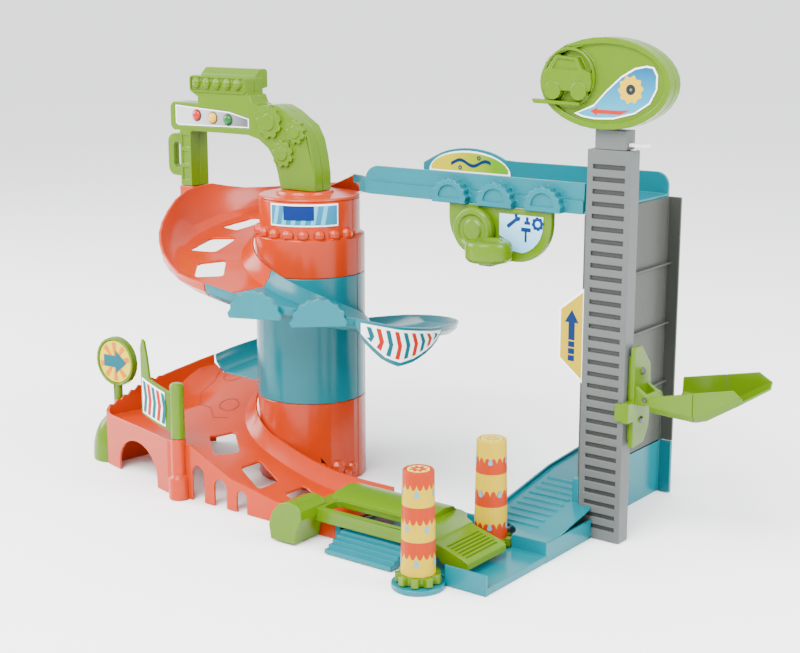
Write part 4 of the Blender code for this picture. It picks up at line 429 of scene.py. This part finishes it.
def gate_wall(along, z, off):
    """A place on the gate's bent panel: distance from its sleeve, height, distance off it."""
    bend = math.radians(GATE_BEND) / GATE_LONG
    start = math.radians(GATE_HEADING)
    turn = start - bend * along
    x = (math.sin(start) - math.sin(turn)) / bend + GATE_START * math.cos(start)
    y = (math.cos(turn) - math.cos(start)) / bend + GATE_START * math.sin(start)
    side = turn + math.pi / 2
    return Vector((GATE_AXIS[0] + x + (GATE_FACE + off) * math.cos(side),
                   GATE_AXIS[1] + y + (GATE_FACE + off) * math.sin(side), z))


teal_bars, red_bars = chevrons(
    BARS_FROM, BARS_TO, BARS_PITCH, BARS_WIDE, BARS_NOSE,
    lambda u: BARS_LOW + BARS_LOW_RISE * u / GATE_LONG,
    lambda u: BARS_HIGH + BARS_HIGH_RISE * u / GATE_LONG)
printed("gate_bars_teal", teal_bars, gate_wall, teal_ink, "gate")
printed("gate_bars_red", red_bars, gate_wall, red_ink, "gate")


# Round sign: a lime ABS disc on a post, with a bell for a foot. Its film is pale yellow with
# orange rays, and a teal arrow points to the parking corner.
PALE_YELLOW, RAY_ORANGE, ARROW_TEAL = "C4AE1C", "C46400", "00525E"
SIGN_MIDDLE, SIGN_FACE, SIGN_TURN = (-0.176, -0.089, 0.100), 0.00295, 3.0
RAY_TURNS, RAY_HALF = (12, 52, 92, 132, 192, 232, 272, 312), 8
RAY_IN, RAY_OUT = 0.004, 0.0192
softened("round_sign", lime_abs)
softened("round_sign_foot", lime_abs)
finish_node("round_sign_label", printed_film("pale_yellow_ink", PALE_YELLOW))


def sign_wall(u, v, off):
    """A place on the round sign's face: across, up, and distance off it."""
    turn = math.radians(SIGN_TURN)
    out = SIGN_FACE + off
    return Vector((SIGN_MIDDLE[0] + u * math.cos(turn) + out * math.sin(turn),
                   SIGN_MIDDLE[1] + u * math.sin(turn) - out * math.cos(turn),
                   SIGN_MIDDLE[2] + v))


rays = []
for turn in RAY_TURNS:
    start, end = math.radians(turn - RAY_HALF), math.radians(turn + RAY_HALF)
    rays.append([(reach * math.cos(angle), reach * math.sin(angle))
                 for reach, angle in ((RAY_IN, start), (RAY_OUT, start), (RAY_OUT, end),
                                      (RAY_IN, end))])
printed("sign_rays", rays, sign_wall, printed_film("ray_ink", RAY_ORANGE))
arrow = [(-0.0145, -0.0058), (0.0010, -0.0058), (0.0010, -0.0118), (0.0155, 0.0),
         (0.0010, 0.0118), (0.0010, 0.0058), (-0.0145, 0.0058)]
printed("sign_arrow", [arrow], sign_wall, printed_film("arrow_teal_ink", ARROW_TEAL),
        lift=SECOND_INK)


# Arch: two lime ABS halves with gears on the leg, and bumps in a raised rim on the crown. The
# traffic lights are glossy domes, each in a dark ring, on a silver film that fades to grey.
SILVER, DARK_SILVER, RING_DARK = "ADAFB2", "515358", "262826"
RED_LENS, YELLOW_LENS, GREEN_LENS = "A80706", "CB9D00", "005C22"
LIGHT_AREA = ((-0.1612, 0.3303), (-0.1585, 0.3286), (-0.0662, 0.3300), (-0.0662, 0.3370),
              (-0.0902, 0.3420), (-0.1612, 0.3460))
CROWN_LOW, CROWN_HIGH = (-0.1402, 0.3608), (-0.0673, 0.3763)
RIM_WIDE, RIM_ROUND, RIM_PROUD, RIM_SUNK, CROWN_FACE = 0.0016, 0.0030, 0.0014, 0.0002, -0.012
FADE_FROM, FADE_TO, LENS_ROUGH, RING_ROUGH = -0.140, -0.070, 0.12, 0.35
RING_ROUND, RING_GAP, RING_SUNK = 0.0006, 0.0001, 0.0002
softened("arch_front", lime_abs)
softened("arch_back", lime_abs)


def rounded_loop(low, high, corner):
    """The outline of a plate with round corners, from its lowest and highest corner."""
    middles = ((high[0] - corner, high[1] - corner), (low[0] + corner, high[1] - corner),
               (low[0] + corner, low[1] + corner), (high[0] - corner, low[1] + corner))
    return [(x + corner * math.cos(math.radians(90 * turn + part)),
             z + corner * math.sin(math.radians(90 * turn + part)))
            for turn, (x, z) in enumerate(middles) for part in range(0, 91, 15)]


outside = rounded_loop(CROWN_LOW, CROWN_HIGH, RIM_ROUND)
inside = rounded_loop([c + RIM_WIDE for c in CROWN_LOW], [c - RIM_WIDE for c in CROWN_HIGH],
                      RIM_ROUND - RIM_WIDE / 2)
rim = [[outside[i - 1], outside[i], inside[i], inside[i - 1]] for i in range(len(outside))]
printed("crown_rim", rim, front_wall(CROWN_FACE), lime_abs,
        lift=-RIM_SUNK, thick=RIM_PROUD)
finish_node("light_panel", white_film)
panel_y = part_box("light_panel")[0].y
silver_film = printed_film("silver_film", SILVER, DARK_SILVER, "X", FADE_FROM, FADE_TO)
printed("light_field", [LIGHT_AREA], front_wall(panel_y), silver_film)
ring_black = moulded("ring_black_abs", RING_DARK, roughness=RING_ROUGH)
for name, code in (("lamp_red", RED_LENS), ("lamp_yellow", YELLOW_LENS),
                   ("lamp_green", GREEN_LENS)):
    lens_abs = moulded(name + "_lens", code, roughness=LENS_ROUGH)
    low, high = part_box(name)
    middle = (low + high) / 2
    radius = (high.x - low.x) / 2
    dome = bmesh.new()
    bmesh.ops.create_uvsphere(dome, u_segments=40, v_segments=20, radius=radius)
    bmesh.ops.bisect_plane(dome, geom=dome.verts[:] + dome.edges[:] + dome.faces[:],
                           plane_co=(0, 0, 0), plane_no=(0, 0, -1), clear_outer=True)
    bmesh.ops.holes_fill(dome, edges=[e for e in dome.edges if e.is_boundary])
    bmesh.ops.scale(dome, vec=(1, 1, (high.y - low.y) / radius), verts=dome.verts)
    bmesh.ops.rotate(dome, matrix=Matrix.Rotation(math.pi / 2, 3, "X"), verts=dome.verts)
    bmesh.ops.translate(dome, vec=(middle.x, high.y, middle.z), verts=dome.verts)
    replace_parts(placed(dome, name + "_dome", lens_abs, "garage"), name)
    bezel = bmesh.new()
    bmesh.ops.create_circle(bezel, segments=12, radius=RING_ROUND)
    bmesh.ops.rotate(bezel, matrix=Matrix.Rotation(math.pi / 2, 3, "X"), verts=bezel.verts)
    bmesh.ops.translate(bezel, vec=(radius + RING_GAP, 0, 0), verts=bezel.verts)
    bmesh.ops.spin(bezel, geom=bezel.edges[:], cent=(0, 0, 0), axis=(0, 0, 1),
                   angle=math.tau, steps=40, use_merge=True)
    bmesh.ops.recalc_face_normals(bezel, faces=bezel.faces)
    bmesh.ops.rotate(bezel, matrix=Matrix.Rotation(math.pi / 2, 3, "X"), verts=bezel.verts)
    bmesh.ops.translate(bezel, vec=(middle.x, high.y - RING_SUNK, middle.z),
                        verts=bezel.verts)
    placed(bezel, name + "_ring", ring_black, "garage")


# Bridge: one teal ABS moulding with guards, three half wheels and a half oval on its back
# guard. The oval's film is yellow and green, printed with a plain wavy road and two wheels.
LEMON, LEAF, ROAD_BLUE = "B8A800", "5A8A08", "062A50"
OVAL_MIDDLE, OVAL_HALF, OVAL_FOOT, OVAL_HEAD = 0.084, 0.0465, 0.2840, 0.3020
OVAL_MARGIN, OVAL_LIP, OVAL_STEP, LEMON_END, LEAF_END = 0.001, 0.0002, 0.004, 0.060, 0.115
ROAD_FROM, ROAD_TO, ROAD_LOW, ROAD_HIGH = 0.0625, 0.1095, 0.2905, 0.2938
ROAD_SWING, ROAD_BENDS, ROAD_ZERO, ROAD_STEP = 0.0026, 210, 0.066, 0.002
ROAD_WHEELS, AXLE_SIZE, TYRE_SIZE = ((0.0735, 0.2872), (0.0955, 0.2975)), 0.0009, 0.0022
softened("bridge_deck", teal_abs)
finish_node("bridge_label", white_film)
oval_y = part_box("bridge_label")[0].y


def oval_head(x):
    """The upper edge of the bridge's half oval film."""
    share = min(1.0, abs(x - OVAL_MIDDLE) / OVAL_HALF)
    return OVAL_FOOT + (OVAL_HEAD - OVAL_FOOT) * math.sqrt(1 - share * share) + OVAL_LIP


def road_swing(x):
    """How far the printed road swings up or down."""
    return ROAD_SWING * math.sin((x - ROAD_ZERO) * ROAD_BENDS)


def ring_quads(x, z, inner, outer, count=20, wave=0.0, teeth=0):
    """The quads of a flat ring, its outer edge waved into teeth where these are given."""
    def edge(index, radius, swing):
        turn = math.tau * index / count
        size = radius + swing * math.copysign(1, math.sin(teeth * turn + 0.01))
        return (x + size * math.cos(turn), z + size * math.sin(turn))
    return [[edge(i, inner, 0), edge(i + 1, inner, 0), edge(i + 1, outer, wave),
             edge(i, outer, wave)] for i in range(count)]


oval_ink = printed_film("lemon_ink", LEMON, LEAF, "X", LEMON_END, LEAF_END)
printed("oval_field", strip(OVAL_MIDDLE - OVAL_HALF + OVAL_MARGIN,
                            OVAL_MIDDLE + OVAL_HALF - OVAL_MARGIN, OVAL_STEP,
                            lambda x: OVAL_FOOT, oval_head),
        front_wall(oval_y), oval_ink)
road_ink = printed_film("road_ink", ROAD_BLUE)
road = strip(ROAD_FROM, ROAD_TO, ROAD_STEP, lambda x: ROAD_LOW + road_swing(x),
             lambda x: ROAD_HIGH + road_swing(x))
wheels = [quad for spot in ROAD_WHEELS for quad in ring_quads(*spot, AXLE_SIZE, TYRE_SIZE)]
printed("oval_road", road + wheels, front_wall(oval_y), road_ink,
        lift=SECOND_INK)


# Workshop: a lime ABS panel under the bridge with a pale blue film of plain tools. A dished
# disc turns on its face, and a thick knob on a bracket below turns like a steering wheel.
ICE, ICE_EDGE, TOOL_BLUE = "9CC6DC", "5CA6CC", "00285C"
ICE_HEAD, ICE_FOOT = 0.272, 0.236
COG_MIDDLE, COG_HOLE, COG_SIZE, COG_TOOTH = (0.2558, 0.2655), 0.0026, 0.0054, 0.0005
for name in ("workshop_panel", "workshop_disc", "workshop_knob"):
    softened(name, lime_abs)
finish_node("workshop_label", printed_film("ice_ink", ICE, ICE_EDGE, "Z", ICE_HEAD, ICE_FOOT))
tool_ink = printed_film("tool_ink", TOOL_BLUE)
tool_wall = front_wall(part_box("workshop_label")[0].y)
spanner = [(0.2248, 0.2622), (0.2334, 0.2686), (0.2328, 0.2716), (0.2354, 0.2732),
           (0.2358, 0.2702), (0.2388, 0.2698), (0.2380, 0.2668), (0.2350, 0.2662),
           (0.2268, 0.2596)]
hammer = [(0.2432, 0.2492), (0.2452, 0.2492), (0.2452, 0.2580), (0.2492, 0.2580),
          (0.2492, 0.2614), (0.2396, 0.2614), (0.2396, 0.2580), (0.2432, 0.2580)]
bolt = [(0.2426, 0.2642), (0.2484, 0.2642), (0.2484, 0.2668), (0.2468, 0.2668),
        (0.2468, 0.2706), (0.2442, 0.2706), (0.2442, 0.2668), (0.2426, 0.2668)]
cog = ring_quads(*COG_MIDDLE, COG_HOLE, COG_SIZE, 24, COG_TOOTH, 8)
printed("workshop_tools", [spanner, hammer, bolt] + cog, tool_wall, tool_ink)


# Lift tower: a satin grey ABS rack with a slot every 10 mm, a deep web behind it and a neck
# for the sign. A yellow film with a blue arrow stands beside it on a white card.
GREY, WEB_SHADE_GREY, SLOT_SHADE_GREY = "4E5251", "3A3D38", "2C2E2C"
WHITE, SIGN_YELLOW, ARROW_BLUE = "CCCCC9", "A68E00", "00214E"
SATIN, SLOT_ROUGH, WHITE_ROUGH = 0.38, 0.45, 0.35
SLOT_AREA, SLOT_FOOT, SLOT_HIGH = (0.3048, 0.3342), 0.00915, 0.0037
SLOT_PITCH, SLOT_COUNT, SLOT_DEEP, SLOT_THICK = 0.0102, 31, 0.0022, 0.0002
SIGN_AREA = ((0.2986, 0.1372), (0.2986, 0.2118), (0.2778, 0.1952), (0.2778, 0.1538))
DASH_LEFT, DASH_RIGHT, DASH_HIGH, DASHES = 0.2855, 0.2915, 0.0048, (0.1640, 0.1580, 0.1520)
grey_abs = moulded("grey_abs", GREY, roughness=SATIN)
for name in ("tower_rack", "tower_neck"):
    softened(name, grey_abs)
# The web is a darker copy of the rack's grey ABS: painted shade for the deep web behind the
# rack.
softened("tower_web", moulded("shaded_grey_abs", WEB_SHADE_GREY, roughness=SATIN))
# Dark grey sheets a little behind the slots are painted shade, standing in for the dark inside
# of the rack seen through them.
slot_shade_quads = [[(SLOT_AREA[0], z), (SLOT_AREA[1], z), (SLOT_AREA[1], z + SLOT_HIGH),
          (SLOT_AREA[0], z + SLOT_HIGH)]
         for z in [SLOT_FOOT + SLOT_PITCH * i for i in range(SLOT_COUNT)]]
printed("painted_slot_shade", slot_shade_quads, front_wall(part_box("tower_rack")[0].y + SLOT_DEEP),
        moulded("slot_shade_paint", SLOT_SHADE_GREY, roughness=SLOT_ROUGH),
        thick=SLOT_THICK)
finish_node("head_lever", moulded("white_abs", WHITE, roughness=WHITE_ROUGH))
finish_node("lift_arrow_sign", white_film)
arrow_wall = front_wall(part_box("lift_arrow_sign")[0].y)
printed("lift_field", [SIGN_AREA], arrow_wall, printed_film("sign_yellow_ink", SIGN_YELLOW))
arrow_blue_ink = printed_film("arrow_blue_ink", ARROW_BLUE)
lift_arrow = [(0.2855, 0.1700), (0.2915, 0.1700), (0.2915, 0.1850), (0.2952, 0.1850),
              (0.2885, 0.1960), (0.2818, 0.1850), (0.2855, 0.1850)]
dashes = [[(DASH_LEFT, z), (DASH_RIGHT, z), (DASH_RIGHT, z + DASH_HIGH),
           (DASH_LEFT, z + DASH_HIGH)] for z in DASHES]
printed("lift_arrow", [lift_arrow] + dashes, arrow_wall, arrow_blue_ink,
        lift=SECOND_INK)


# Sign head: two lime ABS shells, oval, with a car in relief. The drop-shaped film is blue,
# with a white line round it, a yellow gear and a red dart.
SKY, DEEP_SKY, GEAR_YELLOW, HUB_DARK = "1986A4", "07537D", "BE9C00", "27221E"
DROP_EDGE = ((-0.0238, -0.0242), (-0.0090, -0.0185), (0.0028, -0.0062), (0.0156, 0.0050),
             (0.0274, 0.0117), (0.0368, 0.0137), (0.0424, 0.0129), (0.0457, 0.0076),
             (0.0457, -0.0028), (0.0400, -0.0136), (0.0275, -0.0216), (0.0088, -0.0265),
             (-0.0078, -0.0272), (-0.0180, -0.0260))
HEAD_MIDDLE, SKY_HEAD, SKY_FOOT = (0.316, 0.384), 0.396, 0.366
GEAR_MIDDLE, GEAR_HOLE, GEAR_SIZE, GEAR_TOOTH = (0.3400, 0.3800), 0.0042, 0.0104, 0.0008
HUB_HOLE, HUB_SIZE = 0.0012, 0.0040
for name in ("sign_head_front", "sign_head_back"):
    softened(name, lime_abs)
finish_node("sign_head_label", white_film)
drop_wall = front_wall(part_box("sign_head_label")[0].y)
drop = [(HEAD_MIDDLE[0] + u, HEAD_MIDDLE[1] + v) for u, v in DROP_EDGE]
printed("drop_field", [drop], drop_wall,
        printed_film("sky_ink", DEEP_SKY, SKY, "Z", SKY_HEAD, SKY_FOOT))
printed("drop_gear", ring_quads(*GEAR_MIDDLE, GEAR_HOLE, GEAR_SIZE, 40, GEAR_TOOTH, 10),
        drop_wall, printed_film("gear_yellow_ink", GEAR_YELLOW),
        lift=SECOND_INK)
printed("drop_hub", ring_quads(*GEAR_MIDDLE, HUB_HOLE, HUB_SIZE), drop_wall,
        printed_film("hub_ink", HUB_DARK), lift=SECOND_INK)
dart = [(0.3040, 0.3618), (0.3110, 0.3582), (0.3100, 0.3602), (0.3310, 0.3600),
        (0.3400, 0.3640), (0.3300, 0.3632), (0.3102, 0.3634), (0.3112, 0.3654)]
printed("drop_dart", [dart], drop_wall, red_ink, lift=SECOND_INK)


# Lift: a lime ABS carriage clips round the rack's edge and slides on it. Two screws hold its
# halves, and the tray on its pin is two mouldings with a seam.
ZINC_SHADE_GREY, SCRATCHES, ZINC_SMOOTH, ZINC_DULL = "5A5C58", 900.0, 0.25, 0.45
for name in ("lift_carriage", "lift_tray", "tray_end"):
    softened(name, lime_abs)


def zinc_steel(name):
    """Zinc-plated steel, dull metal with fine scratches; its grey is painted dark as recess
    shade.
    """
    paint, tree, shader, place = new_paint(name)
    shader.inputs["Base Color"].default_value = linear(ZINC_SHADE_GREY)
    shader.inputs["Metallic"].default_value = 1.0
    rub = add_node(tree, "ShaderNodeTexNoise", inputs={
        "Vector": place, "Scale": SCRATCHES, "Detail": 2.0})
    dull = add_node(tree, "ShaderNodeMapRange", inputs={
        "Value": rub.outputs["Fac"], "To Min": ZINC_SMOOTH, "To Max": ZINC_DULL})
    tree.links.new(dull.outputs["Result"], shader.inputs["Roughness"])
    return paint


zinc = zinc_steel("zinc_screw")
for name in ("carriage_screw_top", "carriage_screw_low", "tray_pin", "press_pin", "disc_pin",
             "knob_pin", "roller_pin_front", "roller_pin_back"):
    finish_node(name, zinc)


# Base: the teal wash lane with its stairs, the ribbed ramp, the roller lobes and the tower's
# housing are one ABS moulding.
softened("base_tray", teal_abs)


# Wash rollers: a lime gear foot, a tapered drum with printed film round it and a round film
# on top. The film has red and yellow bands with pointed splashes and pale drops.
BAND_RED, BAND_YELLOW, DROP_GREY, CAP_CREAM = "962A04", "AA9000", "5286A2", "C2B040"
ROLLER_FOOT, BAND_PITCH, BAND_SHARE, BAND_ROUGH = 0.0124, 0.0280, 0.5, 0.4
SPLASH_HIGH, SPLASH_COUNT, SPLASH_POINT = 0.16, 15, 2.2
ROLLERS, ROLLER_X, ROLLER_HEAD = (("front", -0.178), ("back", -0.076)), 0.2584, 0.0125
DROP_ROWS, DROPS_ROUND, DROPS_FROM, DROP_LEVEL = 3, 5, -60, 0.48
DROP_BELOW, DROP_HALF, DROP_HIGH, DROP_PINCH, DROP_SIDES = 0.002, 0.0021, 0.0033, 1.3, 14
STAR_HOLE, STAR_SIZE, STAR_TOOTH = 0.0020, 0.0060, 0.0014


def roller_film(name, middle, falling):
    """Film with red and yellow bands; one edge of each band is drawn into thin splashes."""
    paint, tree, shader, place = new_paint(name)
    shader.inputs["Roughness"].default_value = BAND_ROUGH
    shader.inputs["Specular IOR Level"].default_value = FILM_SHINE
    centred = add_node(tree, "ShaderNodeMapping", inputs={
        "Vector": place, "Location": (-ROLLER_X, -middle, -ROLLER_FOOT)})
    split = add_node(tree, "ShaderNodeSeparateXYZ", inputs={0: centred.outputs[0]})
    turn = add_node(tree, "ShaderNodeMath", {"operation": "ARCTAN2"}, {
        0: split.outputs["Y"], 1: split.outputs["X"]})
    spread = add_node(tree, "ShaderNodeMath", {"operation": "MULTIPLY"}, {
        0: turn.outputs[0], 1: SPLASH_COUNT / math.pi})
    saw = add_node(tree, "ShaderNodeMath", {"operation": "PINGPONG"}, {
        0: spread.outputs[0], 1: 1.0})
    point = add_node(tree, "ShaderNodeMath", {"operation": "POWER"}, {
        0: saw.outputs[0], 1: SPLASH_POINT})
    edge = add_node(tree, "ShaderNodeMath", {"operation": "MULTIPLY_ADD"}, {
        0: point.outputs[0], 1: -SPLASH_HIGH if falling else SPLASH_HIGH,
        2: BAND_SHARE})
    level = add_node(tree, "ShaderNodeMath", {"operation": "DIVIDE"}, {
        0: split.outputs["Z"], 1: BAND_PITCH})
    share = add_node(tree, "ShaderNodeMath", {"operation": "FRACT"}, {0: level.outputs[0]})
    lower = add_node(tree, "ShaderNodeMath", {"operation": "LESS_THAN"}, {
        0: share.outputs[0], 1: edge.outputs[0]})
    inks = (BAND_YELLOW, BAND_RED) if falling else (BAND_RED, BAND_YELLOW)
    colour = add_node(tree, "ShaderNodeMix", {"data_type": "RGBA"}, {
        "Factor": lower.outputs[0], 6: linear(inks[0]), 7: linear(inks[1])})
    tree.links.new(colour.outputs[2], shader.inputs["Base Color"])
    return paint


def drops(radius):
    """Pear-shaped drops round a roller, one row for each band edge."""
    step = 360 / DROPS_ROUND
    wide = math.degrees(DROP_HALF / radius)
    turns = [math.tau * i / DROP_SIDES for i in range(DROP_SIDES)]
    made = []
    for row in range(DROP_ROWS):
        z = ROLLER_FOOT + BAND_PITCH * (row + DROP_LEVEL) - DROP_BELOW
        for index in range(DROPS_ROUND):
            angle = DROPS_FROM + step * index + step / 2 * (row % 2)
            made.append([(angle + wide * math.sin(t) * (1 - math.cos(t)) / DROP_PINCH,
                          z + DROP_HIGH * math.cos(t)) for t in turns])
    return made


def flat_top(z):
    """Where a print lands on a level face."""
    return lambda x, y, off: Vector((x, y, z + off))


cream_film = printed_film("cream_film", CAP_CREAM)
drop_ink = printed_film("drop_ink", DROP_GREY)
for end_name, middle in ROLLERS:
    drum = "roller_" + end_name
    at_back = end_name == "back"
    finish_node(drum, roller_film(drum + "_film", middle, at_back))
    softened("roller_gear_" + end_name, lime_abs)
    finish_node("roller_cap_" + end_name, cream_film)
    low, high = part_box(drum)
    radius = (high.x - low.x) / 2
    slope = (radius - ROLLER_HEAD) / (high.z - low.z)
    printed("roller_drops_" + end_name, drops(radius),
            round_wall(radius, (ROLLER_X, middle), slope, low.z), drop_ink,
            end_name + "_roller")
    star_ink = printed_film("star_yellow_ink", BAND_YELLOW) if at_back else red_ink
    printed("roller_star_" + end_name,
            ring_quads(ROLLER_X, middle, STAR_HOLE, STAR_SIZE, 32, STAR_TOOTH, 8),
            flat_top(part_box("roller_cap_" + end_name)[1].z), star_ink,
            end_name + "_roller")


# Press plate: a lime ABS tongue on a pin in its elbow, with a long slot, grooves along its
# top and a ribbed pad to push down.
softened("press_plate", lime_abs)


# Photographer's table: a plain pale floor with soft lights round it.
FLOOR, FLOOR_ROUGH, FLOOR_HALF, FLOOR_BELOW = "FCFCFC", 0.6, 6.0, 0.0005
AIR, AIR_LIGHT = "F8F9FB", 2.0
CAMERA_PLACE, CAMERA_TURN = (0.912, -1.069, 0.454), (77.48, 0.0, 37.0)
LENS, SENSOR = 67.5, 36.0
LIT_POINT = (0.05, 0.0, 0.2)
SOFT_LIGHTS = (("key_light", (0.3, -1.5, 1.7), 1.4, 126),
               ("left_light", (-1.6, -0.6, 1.0), 1.0, 54),
               ("right_light", (1.7, 0.3, 1.1), 1.0, 54))
floor_shape = bmesh.new()
bmesh.ops.create_grid(floor_shape, x_segments=1, y_segments=1, size=FLOOR_HALF)
floor_mesh = bpy.data.meshes.new("floor")
floor_shape.to_mesh(floor_mesh)
floor_shape.free()
floor = bpy.data.objects.new("floor", floor_mesh)
bpy.context.scene.collection.objects.link(floor)
floor_mesh.transform(Matrix.Translation((0, 0, cad_box[0][2] - FLOOR_BELOW)))
paper = bpy.data.materials.new("white_paper")
paper.use_nodes = True
paper_shader = paper.node_tree.nodes["Principled BSDF"]
paper_shader.inputs["Base Color"].default_value = linear(FLOOR)
paper_shader.inputs["Roughness"].default_value = FLOOR_ROUGH
floor_mesh.materials.append(paper)
for name, spot, size, power in SOFT_LIGHTS:
    lamp = bpy.data.lights.new(name, "AREA")
    lamp.size = size
    lamp.energy = power
    holder = bpy.data.objects.new(name, lamp)
    holder.location = spot
    aim = Vector(LIT_POINT) - Vector(spot)
    holder.rotation_euler = aim.to_track_quat("-Z", "Y").to_euler()
    bpy.context.scene.collection.objects.link(holder)
world = bpy.data.worlds.new("studio")
world.use_nodes = True
glow = world.node_tree.nodes["Background"]
glow.inputs["Color"].default_value = linear(AIR)
glow.inputs["Strength"].default_value = AIR_LIGHT
bpy.context.scene.world = world
lens = bpy.data.cameras.new("camera")
lens.lens = LENS
lens.sensor_width = SENSOR
camera = bpy.data.objects.new("camera", lens)
camera.location = CAMERA_PLACE
camera.rotation_euler = [math.radians(a) for a in CAMERA_TURN]
bpy.context.scene.collection.objects.link(camera)
bpy.context.scene.camera = camera
